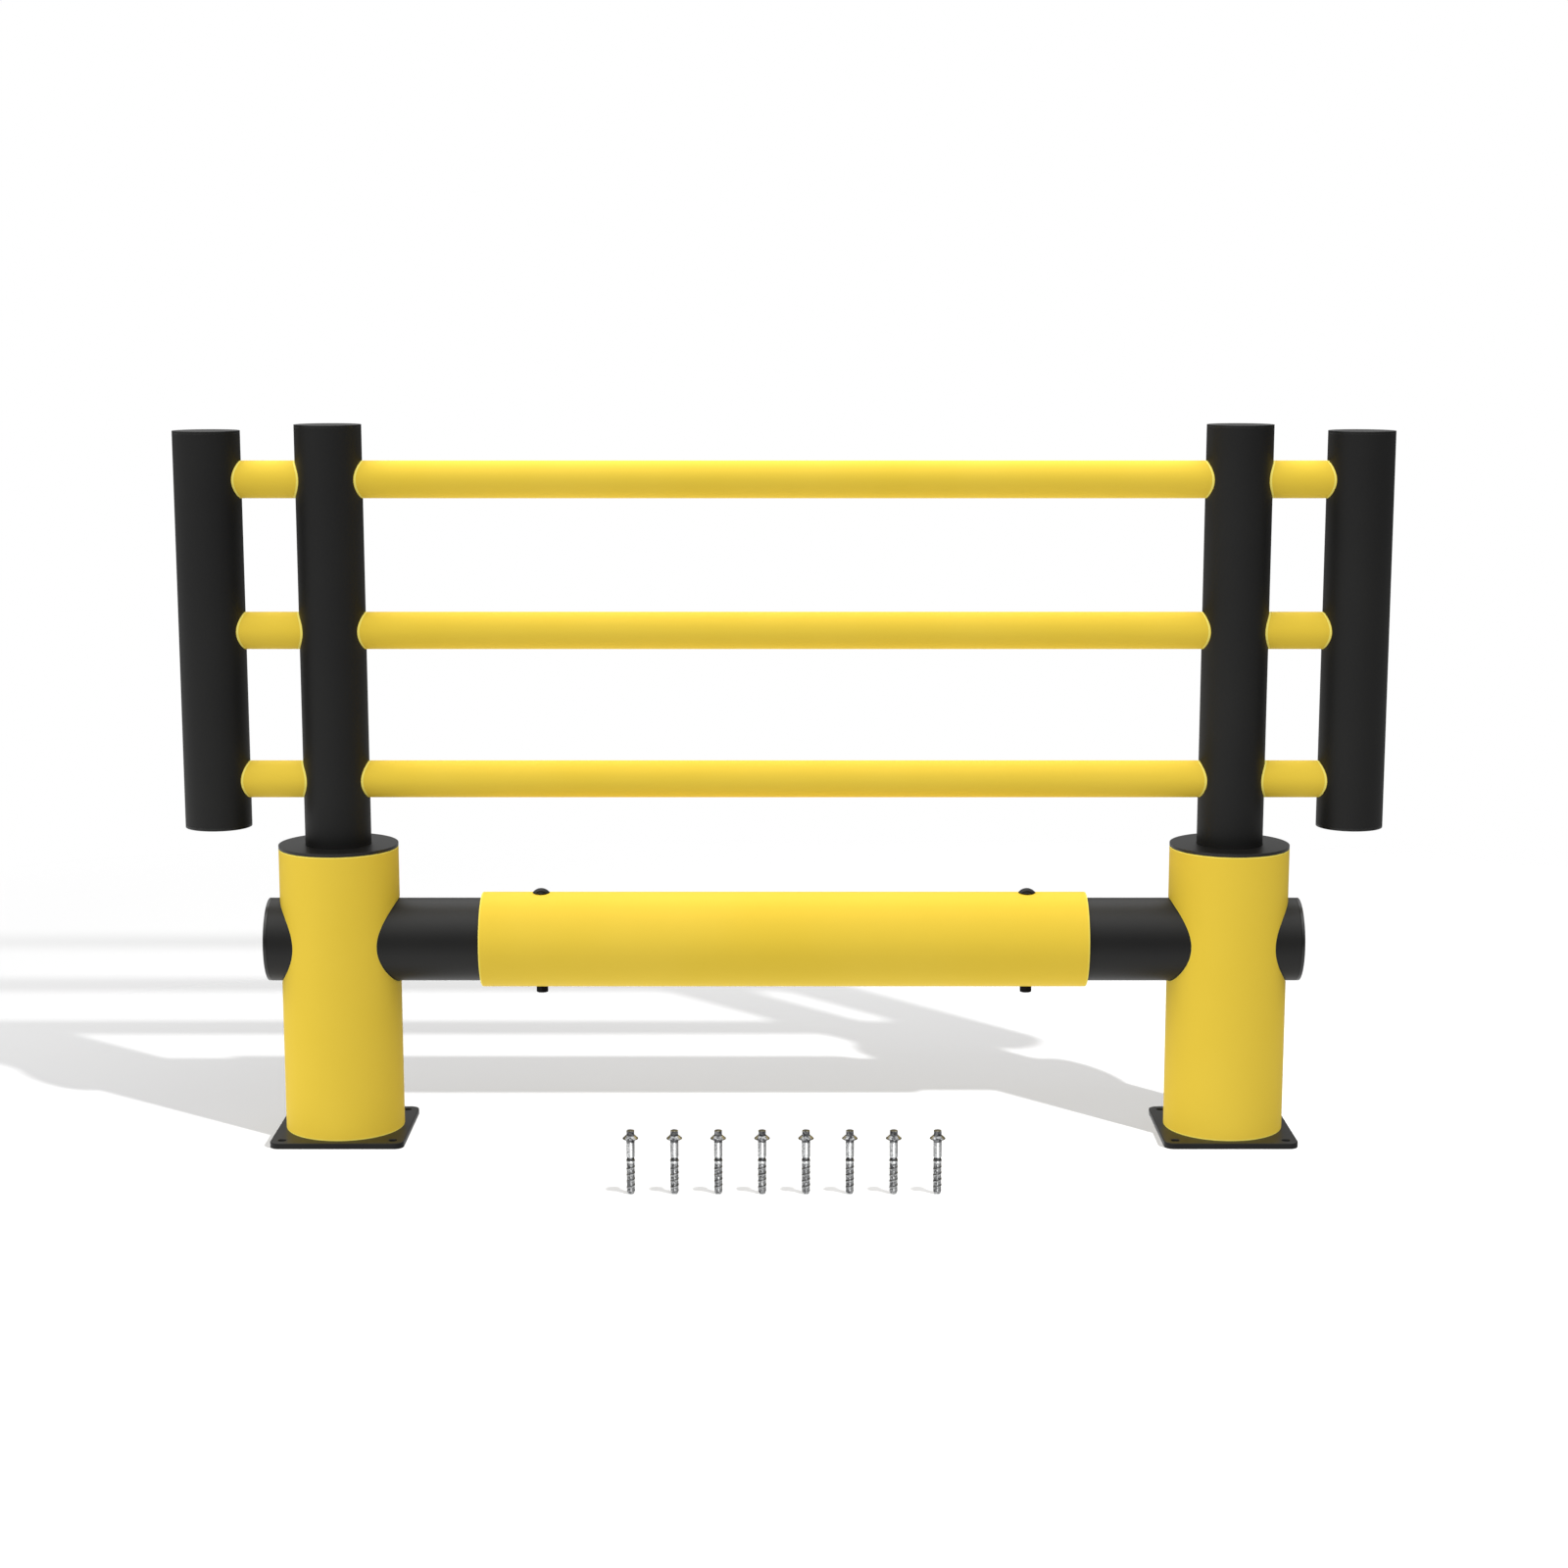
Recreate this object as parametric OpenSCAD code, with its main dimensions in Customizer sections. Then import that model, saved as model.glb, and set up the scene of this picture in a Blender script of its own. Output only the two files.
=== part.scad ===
// Free-standing polymer safety barrier: a traffic beam between two floor posts, with a
// three-rail pedestrian handrail above it that runs past each floor post to a hanging end post.
// X runs along the barrier, Y is its depth with the front at -Y, and Z is up from the floor.
// The origin lies on the floor, midway between the two floor posts. All sizes are millimetres.

/* [Overall] */
// Distance between the centres of the two floor posts
post_spacing = 1500; // [1200:10:2400]
// Distance from the centre of each floor post to the end post beside it
overhang = 200; // [170:5:400]
// Height of the handrail posts' tops above the floor
handrail_top = 1200; // [1000:10:1500]

/* [Base plates] */
// How far each square base plate stands out beyond its floor post
plate_margin = 12.5; // [10:0.5:60]
// Thickness of the base plates
plate_t = 10; // [6:1:20]
// Corner radius of the base plates
plate_corner_r = 16; // [4:1:20]
// Diameter of the four anchor holes in each plate
anchor_hole_d = 14; // [8:0.5:16]
// Distance from the plate's edges to the centres of its anchor holes
anchor_hole_inset = 19.5; // [16:0.5:24]
// Height of the steel ring that the floor post slips over
spigot_h = 60; // [30:5:120]

/* [Floor posts] */
// Outer diameter of the floor posts
floor_post_d = 200; // [165:1:250]
// Wall of the floor posts
floor_post_wall = 12; // [8:0.5:14]
// Height of the floor posts above the top of the beam connectors
post_crown = 95; // [90:1:200]

/* [Traffic beam] */
// Height of the beam's axis above the floor
beam_height = 335; // [220:5:450]
// Outer diameter of the connectors that pass through the floor posts
connector_d = 140; // [110:1:170]
// Wall of the connectors
connector_wall = 12.7; // [8:0.1:16]
// Wall of the beam sleeve
sleeve_wall = 9.5; // [5:0.5:14]
// Bare length of connector between a floor post and the beam sleeve
bare_connector = 140; // [60:5:300]
// Length of connector inside each end of the beam sleeve
connector_lap = 200; // [150:5:260]
// How far each connector stands out beyond its floor post, with its end cap
connector_stub = 20; // [10:1:60]
// Distance from each end of the beam sleeve to its through bolt
bolt_inset = 100; // [50:5:130]
// Diameter of the through bolts
bolt_d = 12; // [8:1:14]
// How far the sleeve can float each way along the connectors
beam_float = 6.5; // [0:0.5:8]

/* [Handrail] */
// Outer diameter of the handrail posts and the end posts
handrail_post_d = 110; // [90:1:135]
// Wall of the handrail posts and the end posts
handrail_post_wall = 6.6; // [4:0.1:10]
// Outer diameter of the three rails
rail_d = 62; // [45:1:76]
// Wall of the rails
rail_wall = 5.8; // [3:0.1:8]
// Height of the lowest rail's axis above the floor posts' tops
first_rail_gap = 110; // [60:5:200]
// Distance from the top rail's axis to the handrail posts' tops
top_margin = 90; // [60:5:200]
// How far the end posts run past the axes of the top and bottom rails
end_margin = 80; // [60:5:150]
// Diameter of the pins that lock the rails in their posts
rail_pin_d = 16; // [8:1:24]

/* [Floor anchors] */
// Length of an anchor, from its tip to the top of its head
anchor_length = 104; // [70:1:160]
// Core diameter of an anchor's shank
anchor_core_d = 11; // [8:0.5:12]
// Distance between neighbouring anchors as they stand on the floor
anchor_pitch = 69.5; // [40:0.5:120]
// Distance from the barrier's middle plane to the row of anchors in front of it
anchor_row_y = 350; // [180:10:600]

/* [Hidden] */
$fn = 96;
LEFT = -1;
RIGHT = 1;
SIDES = [LEFT, RIGHT];

// How far a cut runs past each face that it opens
cut = 1;

// Clearances
slip_gap = 0.3;      // radial, between a pipe and the hole or pipe that it slips into
plug_gap = 0.2;      // radial, between a cap's skirt and the bore that it plugs
bolt_gap = 0.5;      // radial, around bolts, rods and pins
sleeve_gap = 0.5;    // radial, between the connectors and the beam sleeve
float_gap = 0.3;     // between the floating sleeve and the bolt heads and nuts that keep it

// Edges and end caps
pipe_edge = 1;       // chamfer on the rims of the pipes
cap_edge = 1.5;      // chamfer around the flanges of the caps and collars
cap_t = 4;           // flange of the caps on the handrail posts and end posts
connector_cap_t = 5; // flange of the caps on the connectors
collar_t = 5;        // flange of the floor posts' collars
cap_skirt = 18;      // depth to which a cap plugs its pipe
cap_skirt_wall = 3;
skirt_lead = 1;      // taper that leads a skirt into its bore, twice as long as it is wide
pin_boss_wall = 4;   // around the pin, under the caps that centre it

// Base plates and what is welded to them
plate_w = floor_post_d + 2 * plate_margin;
anchor_hole_x = plate_w / 2 - anchor_hole_inset;
spigot_wall = 6;
spigot_lead = 3;     // chamfer that leads the floor post over its spigot
tie_rod_d = 16;
tie_boss_d = 40;
tie_boss_h = 30;
tie_rod_end_gap = 2; // from the top of the plate to the rod's lower end

// Floor posts and the traffic beam
post_x = post_spacing / 2;
floor_post_bore_d = floor_post_d - 2 * floor_post_wall;
connector_top = beam_height + connector_d / 2;
floor_post_top = connector_top + post_crown;
sleeve_bore_d = connector_d + 2 * sleeve_gap;
sleeve_d = sleeve_bore_d + 2 * sleeve_wall;
sleeve_end_x = post_x - floor_post_d / 2 - bare_connector;
connector_in_x = sleeve_end_x - connector_lap;
connector_out_x = post_x + floor_post_d / 2 + connector_stub - connector_cap_t;
bolt_x = sleeve_end_x - bolt_inset;
slot_w = bolt_d + 2 * bolt_gap;
slot_l = slot_w + 2 * beam_float;
bolt_head_d = 29;
bolt_head_h = 7.5;
bolt_neck_gap = 1.5; // from the end of the bolt's neck to the sleeve's bore
bolt_neck_h = sleeve_wall + float_gap - bolt_neck_gap;
bolt_seat_z = beam_height + sleeve_d / 2 + float_gap;
beam_nut_top = beam_height - sleeve_d / 2 - float_gap;
beam_nut_w = 19;
beam_nut_h = 10.8;
nut_chamfer = 1;

// Foot of the handrail post, inside the top of the floor post
seat_skirt = 20;     // how far the seat straddles the connector below its crown
seat_crown = 12;     // thickness of the seat above the connector's crown
seat_lip = 12;       // depth of the socket in the seat
seat_floor = connector_top + seat_crown;
foot_plug_h = 40;
foot_plug_floor = 12;
nut_well_d = 44;
tie_washer_d = 30;
tie_washer_t = 3;
tie_nut_w = 24;
tie_nut_h = 13;
tie_nut_z = seat_floor + foot_plug_floor + tie_washer_t;
tie_rod_top = tie_nut_z + tie_nut_h + 3;
foot_screw_z = seat_floor + 27;
foot_screw_d = 5;
foot_screw_l = 24;
foot_screw_head_d = 10;
foot_screw_head_h = 3;
foot_screw_angles = [45, 135, 225, 315];
collar_skirt = 20;
collar_skirt_wall = 4;

// Rails and handrail posts
end_post_x = post_x + overhang;
handrail_bore_d = handrail_post_d - 2 * handrail_post_wall;
bottom_rail_z = floor_post_top + first_rail_gap;
top_rail_z = handrail_top - top_margin;
middle_rail_z = (bottom_rail_z + top_rail_z) / 2;
RAIL_HEIGHTS = [bottom_rail_z, middle_rail_z, top_rail_z];
rail_end_gap = 1;    // from a rail's end to the far wall inside its end post
rail_reach = sqrt(pow(handrail_bore_d / 2, 2) - pow(rail_d / 2, 2)) - rail_end_gap;
end_post_bottom = bottom_rail_z - end_margin;
end_post_top = top_rail_z + end_margin;
pin_end_gap = 0.5;   // from a locking pin's upper end to the cap above it

// Floor anchors
ANCHOR_COUNT = 8;
anchor_head_w = 12;
anchor_head_h = 8;
anchor_head_chamfer = 0.8;
anchor_flange_d = 25;
anchor_flange_step = 0.4; // around the corners of the head
anchor_flange_drop = 4.5; // from the head's foot down to the top of the flange's rim
anchor_flange_rim = 1.5;
anchor_flange_hollow = 2; // how far the flange's underside rises towards the shank
anchor_thread_d = anchor_core_d + 2.6;
anchor_thread_pitch = 10;
anchor_crest = 0.4;       // half the width of a thread's crest
anchor_root = 1.6;        // half the width of a thread at its root
anchor_neck = 22;         // smooth shank under the flange
anchor_tip_h = 3;
anchor_tip_taper = 1.5;

YELLOW = [0.96, 0.80, 0.16];
BLACK = [0.10, 0.10, 0.10];
STEEL_BLACK = [0.14, 0.14, 0.15];
ZINC = [0.72, 0.73, 0.74];
GLASS_FIBRE = [0.86, 0.84, 0.74];

// ---- Shapes that repeat ----

// A pipe that stands on the XY plane, with chamfered outer rims
module pipe(outer_d, wall, length) {
    r = outer_d / 2;
    rotate_extrude()
        polygon([
            [r - wall, 0], [r - pipe_edge, 0], [r, pipe_edge],
            [r, length - pipe_edge], [r - pipe_edge, length], [r - wall, length]
        ]);
}

// Turns what stands along Z so that it lies along X
module along_x() {
    rotate([0, 90, 0]) children();
}

// A rod or bore along X, Y or Z, centred on the origin
module rod_x(d, length) { rotate([0, 90, 0]) cylinder(d = d, h = length, center = true); }
module rod_z(d, length) { cylinder(d = d, h = length, center = true); }

// A push-in cap: a flange above the XY plane on the pipe's rim, and a skirt below it in the bore
module plug_cap(outer_d, bore_d, flange_t) {
    r = outer_d / 2;
    skirt_r = bore_d / 2 - plug_gap;
    rotate_extrude()
        polygon([
            [0, 0], [skirt_r - cap_skirt_wall, 0], [skirt_r - cap_skirt_wall, -cap_skirt],
            [skirt_r - skirt_lead, -cap_skirt], [skirt_r, -cap_skirt + 2 * skirt_lead], [skirt_r, 0],
            [r, 0], [r, flange_t - cap_edge], [r - cap_edge, flange_t], [0, flange_t]
        ]);
}

// A cap with a boss underneath that centres a locking pin
module pin_cap() {
    plug_cap(handrail_post_d, handrail_bore_d, cap_t);
    translate([0, 0, -cap_skirt])
        difference() {
            cylinder(d = rail_pin_d + 2 * pin_boss_wall, h = cap_skirt);
            translate([0, 0, -cut]) cylinder(d = rail_pin_d + 2 * bolt_gap, h = cap_skirt + cut);
        }
}

// A plain hexagon nut on the XY plane, chamfered below, with a bore
module hex_nut(width, height, bore_d) {
    corner_d = width / cos(30);
    difference() {
        intersection() {
            rotate([0, 0, 30]) cylinder(d = corner_d, h = height, $fn = 6);
            cylinder(d1 = width - nut_chamfer, d2 = width - nut_chamfer + 3 * height, h = height);
        }
        translate([0, 0, -cut]) cylinder(d = bore_d, h = height + 2 * cut);
    }
}

// ---- Base plates ----

module rounded_slab(w, t, r) {
    straight = w - 2 * r;
    translate([-w / 2, -straight / 2, 0]) cube([w, straight, t]);
    translate([-straight / 2, -w / 2, 0]) cube([straight, w, t]);
    for (x = SIDES, y = SIDES)
        translate([x * straight / 2, y * straight / 2, 0]) cylinder(r = r, h = t);
}

module base_plate(side) {
    color(STEEL_BLACK)
        translate([side * post_x, 0, 0])
            difference() {
                rounded_slab(plate_w, plate_t, plate_corner_r);
                for (x = SIDES, y = SIDES)
                    translate([x * anchor_hole_x, y * anchor_hole_x, -cut])
                        cylinder(d = anchor_hole_d, h = plate_t + 2 * cut);
            }
}

// The steel ring on the plate that the floor post slips over
module base_spigot(side) {
    r = floor_post_bore_d / 2 - slip_gap;
    color(STEEL_BLACK)
        translate([side * post_x, 0, plate_t])
            rotate_extrude()
                polygon([
                    [r - spigot_wall, 0], [r, 0], [r, spigot_h - spigot_lead],
                    [r - spigot_lead, spigot_h], [r - spigot_wall, spigot_h]
                ]);
}

// The threaded boss in the middle of each plate
module tie_rod_bosses() {
    color(STEEL_BLACK)
        for (side = SIDES)
            translate([side * post_x, 0, plate_t])
                difference() {
                    cylinder(d = tie_boss_d, h = tie_boss_h);
                    translate([0, 0, -cut]) cylinder(d = tie_rod_d + 2 * plug_gap, h = tie_boss_h + 2 * cut);
                }
}

// ---- Floor posts ----

module floor_post(side) {
    color(YELLOW)
        translate([side * post_x, 0, 0])
            difference() {
                translate([0, 0, plate_t])
                    pipe(floor_post_d, floor_post_wall, floor_post_top - collar_t - plate_t);
                translate([0, 0, beam_height]) rod_x(connector_d + 2 * slip_gap, floor_post_d + 2 * cut);
            }
}

// The cover of a floor post, with one skirt in its bore and one around the handrail post
module post_collar(side) {
    r = floor_post_d / 2;
    skirt_r = floor_post_bore_d / 2 - plug_gap;
    hole_r = handrail_post_d / 2 + slip_gap;
    color(BLACK)
        translate([side * post_x, 0, floor_post_top - collar_t])
            rotate_extrude()
                polygon([
                    [hole_r, -collar_skirt], [hole_r + collar_skirt_wall, -collar_skirt],
                    [hole_r + collar_skirt_wall, 0], [skirt_r - collar_skirt_wall, 0],
                    [skirt_r - collar_skirt_wall, -collar_skirt], [skirt_r - skirt_lead, -collar_skirt],
                    [skirt_r, -collar_skirt + 2 * skirt_lead], [skirt_r, 0], [r, 0],
                    [r, collar_t - cap_edge], [r - cap_edge, collar_t], [hole_r, collar_t]
                ]);
}

// The block that straddles the connector and carries the handrail post in a socket
module handrail_seat(side) {
    color(BLACK)
        translate([side * post_x, 0, 0])
            difference() {
                translate([0, 0, connector_top - seat_skirt])
                    cylinder(
                        d = floor_post_bore_d - 2 * slip_gap,
                        h = seat_skirt + seat_crown + seat_lip
                    );
                translate([0, 0, beam_height]) rod_x(connector_d + 2 * plug_gap, floor_post_d);
                translate([0, 0, seat_floor])
                    cylinder(d = handrail_post_d + 2 * slip_gap, h = seat_lip + cut);
                translate([0, 0, connector_top]) rod_z(tie_rod_d + 2 * bolt_gap, 4 * seat_crown);
            }
}

// ---- Traffic beam ----

// The tube that passes through a floor post and into the beam sleeve
module beam_connector(side) {
    length = connector_out_x - connector_in_x;
    color(BLACK)
        mirror([side == LEFT ? 1 : 0, 0, 0])
            translate([0, 0, beam_height])
                difference() {
                    translate([connector_in_x, 0, 0]) along_x() pipe(connector_d, connector_wall, length);
                    translate([bolt_x, 0, 0]) rod_z(bolt_d + 2 * bolt_gap, connector_d + 2 * cut);
                    translate([post_x, 0, 0]) rod_z(tie_rod_d + 2 * bolt_gap, connector_d + 2 * cut);
                }
}

module connector_cap(side) {
    color(BLACK)
        mirror([side == LEFT ? 1 : 0, 0, 0])
            translate([connector_out_x, 0, beam_height])
                along_x() plug_cap(connector_d, connector_d - 2 * connector_wall, connector_cap_t);
}

// The yellow beam, slotted for its bolts above and below so that it can float
module beam_sleeve() {
    color(YELLOW)
        translate([0, 0, beam_height])
            difference() {
                translate([-sleeve_end_x, 0, 0]) along_x() pipe(sleeve_d, sleeve_wall, 2 * sleeve_end_x);
                for (side = SIDES)
                    translate([side * bolt_x, 0, 0]) cube([slot_l, slot_w, sleeve_d + 2 * cut], center = true);
            }
}

// Mushroom-head bolts with square necks that slide in the slots without turning
module beam_bolts() {
    dome_r = (pow(bolt_head_d / 2, 2) + pow(bolt_head_h, 2)) / (2 * bolt_head_h);
    shank_bottom = beam_nut_top - beam_nut_h;
    color(STEEL_BLACK)
        for (side = SIDES)
            translate([side * bolt_x, 0, 0]) {
                intersection() {
                    translate([0, 0, bolt_seat_z + bolt_head_h - dome_r]) sphere(r = dome_r);
                    translate([0, 0, bolt_seat_z]) cylinder(d = bolt_head_d, h = bolt_head_h + cut);
                }
                translate([-bolt_d / 2, -bolt_d / 2, bolt_seat_z - bolt_neck_h])
                    cube([bolt_d, bolt_d, bolt_neck_h]);
                translate([0, 0, shank_bottom]) cylinder(d = bolt_d, h = bolt_seat_z - shank_bottom);
            }
}

module beam_nuts() {
    color(STEEL_BLACK)
        for (side = SIDES)
            translate([side * bolt_x, 0, beam_nut_top - beam_nut_h])
                hex_nut(beam_nut_w, beam_nut_h, bolt_d + 2 * plug_gap);
}

// ---- Foot of the handrail posts ----

// The block that is screwed into the foot of a handrail post, with a well for the tie nut
module foot_plug(side) {
    color(BLACK)
        translate([side * post_x, 0, seat_floor])
            difference() {
                cylinder(d = handrail_bore_d - 2 * plug_gap, h = foot_plug_h);
                translate([0, 0, foot_plug_floor]) cylinder(d = nut_well_d, h = foot_plug_h);
                rod_z(tie_rod_d + 2 * bolt_gap, 3 * foot_plug_floor);
                foot_screw_holes(seat_floor);
            }
}

// Radial holes for the foot screws, in something whose own zero is at height base
module foot_screw_holes(base) {
    for (a = foot_screw_angles)
        translate([0, 0, foot_screw_z - base])
            rotate([0, 90, a])
                translate([0, 0, handrail_post_d / 2 - foot_screw_l - cut])
                    cylinder(d = foot_screw_d + 2 * plug_gap, h = foot_screw_l + 2 * cut);
}

module foot_screws() {
    color(ZINC)
        for (side = SIDES, a = foot_screw_angles)
            translate([side * post_x, 0, foot_screw_z])
                rotate([0, 90, a]) {
                    translate([0, 0, handrail_post_d / 2])
                        cylinder(d1 = foot_screw_head_d, d2 = foot_screw_head_d - 2, h = foot_screw_head_h);
                    translate([0, 0, handrail_post_d / 2 - foot_screw_l])
                        cylinder(d = foot_screw_d, h = foot_screw_l);
                }
}

// The rods that clamp seat, connector and floor post down on each base plate
module tie_rods() {
    bottom = plate_t + tie_rod_end_gap;
    color(ZINC)
        for (side = SIDES)
            translate([side * post_x, 0, bottom]) cylinder(d = tie_rod_d, h = tie_rod_top - bottom);
}

module tie_washers() {
    color(ZINC)
        for (side = SIDES)
            translate([side * post_x, 0, tie_nut_z - tie_washer_t])
                difference() {
                    cylinder(d = tie_washer_d, h = tie_washer_t);
                    translate([0, 0, -cut]) cylinder(d = tie_rod_d + 2 * bolt_gap, h = tie_washer_t + 2 * cut);
                }
}

module tie_nuts() {
    color(ZINC)
        for (side = SIDES)
            translate([side * post_x, 0, tie_nut_z])
                hex_nut(tie_nut_w, tie_nut_h, tie_rod_d + 2 * plug_gap);
}

// ---- Handrail ----

module handrail_post(side) {
    color(BLACK)
        translate([side * post_x, 0, 0])
            difference() {
                translate([0, 0, seat_floor])
                    pipe(handrail_post_d, handrail_post_wall, handrail_top - cap_t - seat_floor);
                for (z = RAIL_HEIGHTS)
                    translate([0, 0, z]) rod_x(rail_d + 2 * slip_gap, handrail_post_d + 2 * cut);
                foot_screw_holes(0);
            }
}

// A hanging post, with its rail holes on the inner side only
module end_post(side) {
    length = end_post_top - end_post_bottom - 2 * cap_t;
    color(BLACK)
        translate([side * end_post_x, 0, 0])
            difference() {
                translate([0, 0, end_post_bottom + cap_t])
                    pipe(handrail_post_d, handrail_post_wall, length);
                for (z = RAIL_HEIGHTS)
                    translate([-side * handrail_post_d / 2, 0, z])
                        rod_x(rail_d + 2 * slip_gap, handrail_post_d);
            }
}

// A rail runs through both handrail posts and ends inside both end posts
module rail(z) {
    half = end_post_x + rail_reach;
    color(YELLOW)
        translate([0, 0, z])
            difference() {
                translate([-half, 0, 0]) along_x() pipe(rail_d, rail_wall, 2 * half);
                for (side = SIDES, x = [post_x, end_post_x])
                    translate([side * x, 0, 0]) rod_z(rail_pin_d + 2 * bolt_gap, rail_d + 2 * cut);
            }
}

module handrail_cap(side) {
    color(BLACK) translate([side * post_x, 0, handrail_top - cap_t]) pin_cap();
}

module end_cap_top(side) {
    color(BLACK) translate([side * end_post_x, 0, end_post_top - cap_t]) pin_cap();
}

module end_cap_bottom(side) {
    color(BLACK)
        translate([side * end_post_x, 0, end_post_bottom + cap_t]) mirror([0, 0, 1]) pin_cap();
}

// The pins that lock the rails in the handrail posts stand on the tie rods' ends
module rail_pins() {
    color(GLASS_FIBRE)
        for (side = SIDES)
            translate([side * post_x, 0, tie_rod_top])
                cylinder(d = rail_pin_d, h = handrail_top - cap_t - pin_end_gap - tie_rod_top);
}

// Those in the end posts stand on the bottom caps
module end_rail_pins() {
    bottom = end_post_bottom + cap_t;
    color(GLASS_FIBRE)
        for (side = SIDES)
            translate([side * end_post_x, 0, bottom])
                cylinder(d = rail_pin_d, h = end_post_top - cap_t - pin_end_gap - bottom);
}

// ---- Floor anchors ----

// One ridge of thread around the shank, with its crest at height z
function ridge(z) = [
    [anchor_core_d / 2, z - anchor_root], [anchor_thread_d / 2, z - anchor_crest],
    [anchor_thread_d / 2, z + anchor_crest], [anchor_core_d / 2, z + anchor_root]
];

// A concrete screw that stands on its tip, with ring ridges in place of its helical thread
module floor_anchor() {
    head_z = anchor_length - anchor_head_h;
    rim_z = head_z - anchor_flange_drop - anchor_flange_rim;
    core_r = anchor_core_d / 2;
    flange_r = anchor_flange_d / 2;
    lowest = anchor_tip_h + 2 * anchor_root;
    highest = rim_z - anchor_neck;
    rotate_extrude()
        polygon([
            [0, 0], [core_r - anchor_tip_taper, 0], [core_r, anchor_tip_h],
            each [for (z = [lowest : anchor_thread_pitch : highest]) each ridge(z)],
            [core_r, rim_z + anchor_flange_hollow], [flange_r, rim_z], [flange_r, rim_z + anchor_flange_rim],
            [anchor_head_w / 2 / cos(30) + anchor_flange_step, head_z], [0, head_z]
        ]);
    translate([0, 0, head_z])
        intersection() {
            rotate([0, 0, 30]) cylinder(d = anchor_head_w / cos(30), h = anchor_head_h, $fn = 6);
            cylinder(
                d1 = anchor_head_w - anchor_head_chamfer + 3 * anchor_head_h,
                d2 = anchor_head_w - anchor_head_chamfer,
                h = anchor_head_h
            );
        }
}

// The anchors as supplied, in a row on the floor in front of the barrier
module floor_anchors() {
    color(ZINC)
        for (i = [0 : ANCHOR_COUNT - 1])
            translate([(i - (ANCHOR_COUNT - 1) / 2) * anchor_pitch, -anchor_row_y, 0]) floor_anchor();
}

// ---- What is drawn ----

base_plate(LEFT);  // base_plate_left
base_plate(RIGHT);  // base_plate_right
base_spigot(LEFT);  // base_spigot_left
base_spigot(RIGHT);  // base_spigot_right
tie_rod_bosses();
floor_post(LEFT);  // floor_post_left
floor_post(RIGHT);  // floor_post_right
beam_connector(LEFT);  // beam_connector_left
beam_connector(RIGHT);  // beam_connector_right
connector_cap(LEFT);  // connector_cap_left
connector_cap(RIGHT);  // connector_cap_right
beam_sleeve();
beam_bolts();
beam_nuts();
handrail_seat(LEFT);  // handrail_seat_left
handrail_seat(RIGHT);  // handrail_seat_right
post_collar(LEFT);  // post_collar_left
post_collar(RIGHT);  // post_collar_right
handrail_post(LEFT);  // handrail_post_left
handrail_post(RIGHT);  // handrail_post_right
foot_plug(LEFT);  // foot_plug_left
foot_plug(RIGHT);  // foot_plug_right
foot_screws();
tie_rods();
tie_washers();
tie_nuts();
end_post(LEFT);  // end_post_left
end_post(RIGHT);  // end_post_right
rail(bottom_rail_z);  // bottom_rail
rail(middle_rail_z);  // middle_rail
rail(top_rail_z);  // top_rail
handrail_cap(LEFT);  // handrail_cap_left
handrail_cap(RIGHT);  // handrail_cap_right
end_cap_top(LEFT);  // end_cap_top_left
end_cap_top(RIGHT);  // end_cap_top_right
end_cap_bottom(LEFT);  // end_cap_bottom_left
end_cap_bottom(RIGHT);  // end_cap_bottom_right
rail_pins();
end_rail_pins();
floor_anchors();
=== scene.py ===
# %% [markdown]
# # A polymer traffic barrier with a pedestrian handrail
# The barrier is made of thick plastic tubes. Two yellow floor posts carry a yellow beam on black
# connectors, and a handrail of black posts and yellow rails stands above them. Every tube in this
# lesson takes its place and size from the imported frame, so nothing has to be fitted by eye.

import math

import bmesh
import bpy
from mathutils import Matrix, Vector


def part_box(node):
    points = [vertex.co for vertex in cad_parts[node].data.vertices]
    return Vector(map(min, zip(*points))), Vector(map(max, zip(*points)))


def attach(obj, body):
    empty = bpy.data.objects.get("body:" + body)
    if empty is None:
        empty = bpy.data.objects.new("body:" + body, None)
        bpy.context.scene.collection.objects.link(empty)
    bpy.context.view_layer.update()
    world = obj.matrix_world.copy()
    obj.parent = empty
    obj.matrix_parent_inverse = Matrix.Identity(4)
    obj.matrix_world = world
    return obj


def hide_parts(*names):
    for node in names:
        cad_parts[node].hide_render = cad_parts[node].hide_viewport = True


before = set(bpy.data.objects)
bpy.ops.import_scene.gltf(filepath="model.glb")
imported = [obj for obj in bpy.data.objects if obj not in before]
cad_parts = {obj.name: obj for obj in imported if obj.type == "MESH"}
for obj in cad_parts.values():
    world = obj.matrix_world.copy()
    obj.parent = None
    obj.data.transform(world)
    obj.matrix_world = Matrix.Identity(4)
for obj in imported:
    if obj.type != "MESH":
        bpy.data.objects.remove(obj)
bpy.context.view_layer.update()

# %% [markdown]
# ## Measuring the frame
# A CAD node's place is in its mesh, so its box says where its axis runs and how thick it is. A tube's
# facets can make its box a hair too small one way, and the larger of its two widths is the true one.

# %% Measure a tube
MM = 0.001
SIDES = {"left": -1, "right": 1}


def span(node, axis):
    """Lowest and highest coordinate of a CAD node along axis 0, 1 or 2."""
    low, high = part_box(node)
    return low[axis], high[axis]


def middle(node):
    """The centre of a CAD node's box."""
    low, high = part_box(node)
    return (low + high) / 2


def radius_about(node, axis):
    """Radius of a round CAD node that stands along axis 0, 1 or 2."""
    low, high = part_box(node)
    return max((high - low)[i] for i in range(3) if i != axis) / 2


RAIL_LEVELS = ("bottom", "middle", "top")
rail_heights = [middle(f"{level}_rail").z for level in RAIL_LEVELS]
print("rails at", [round(z, 3) for z in rail_heights], "m")

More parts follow.
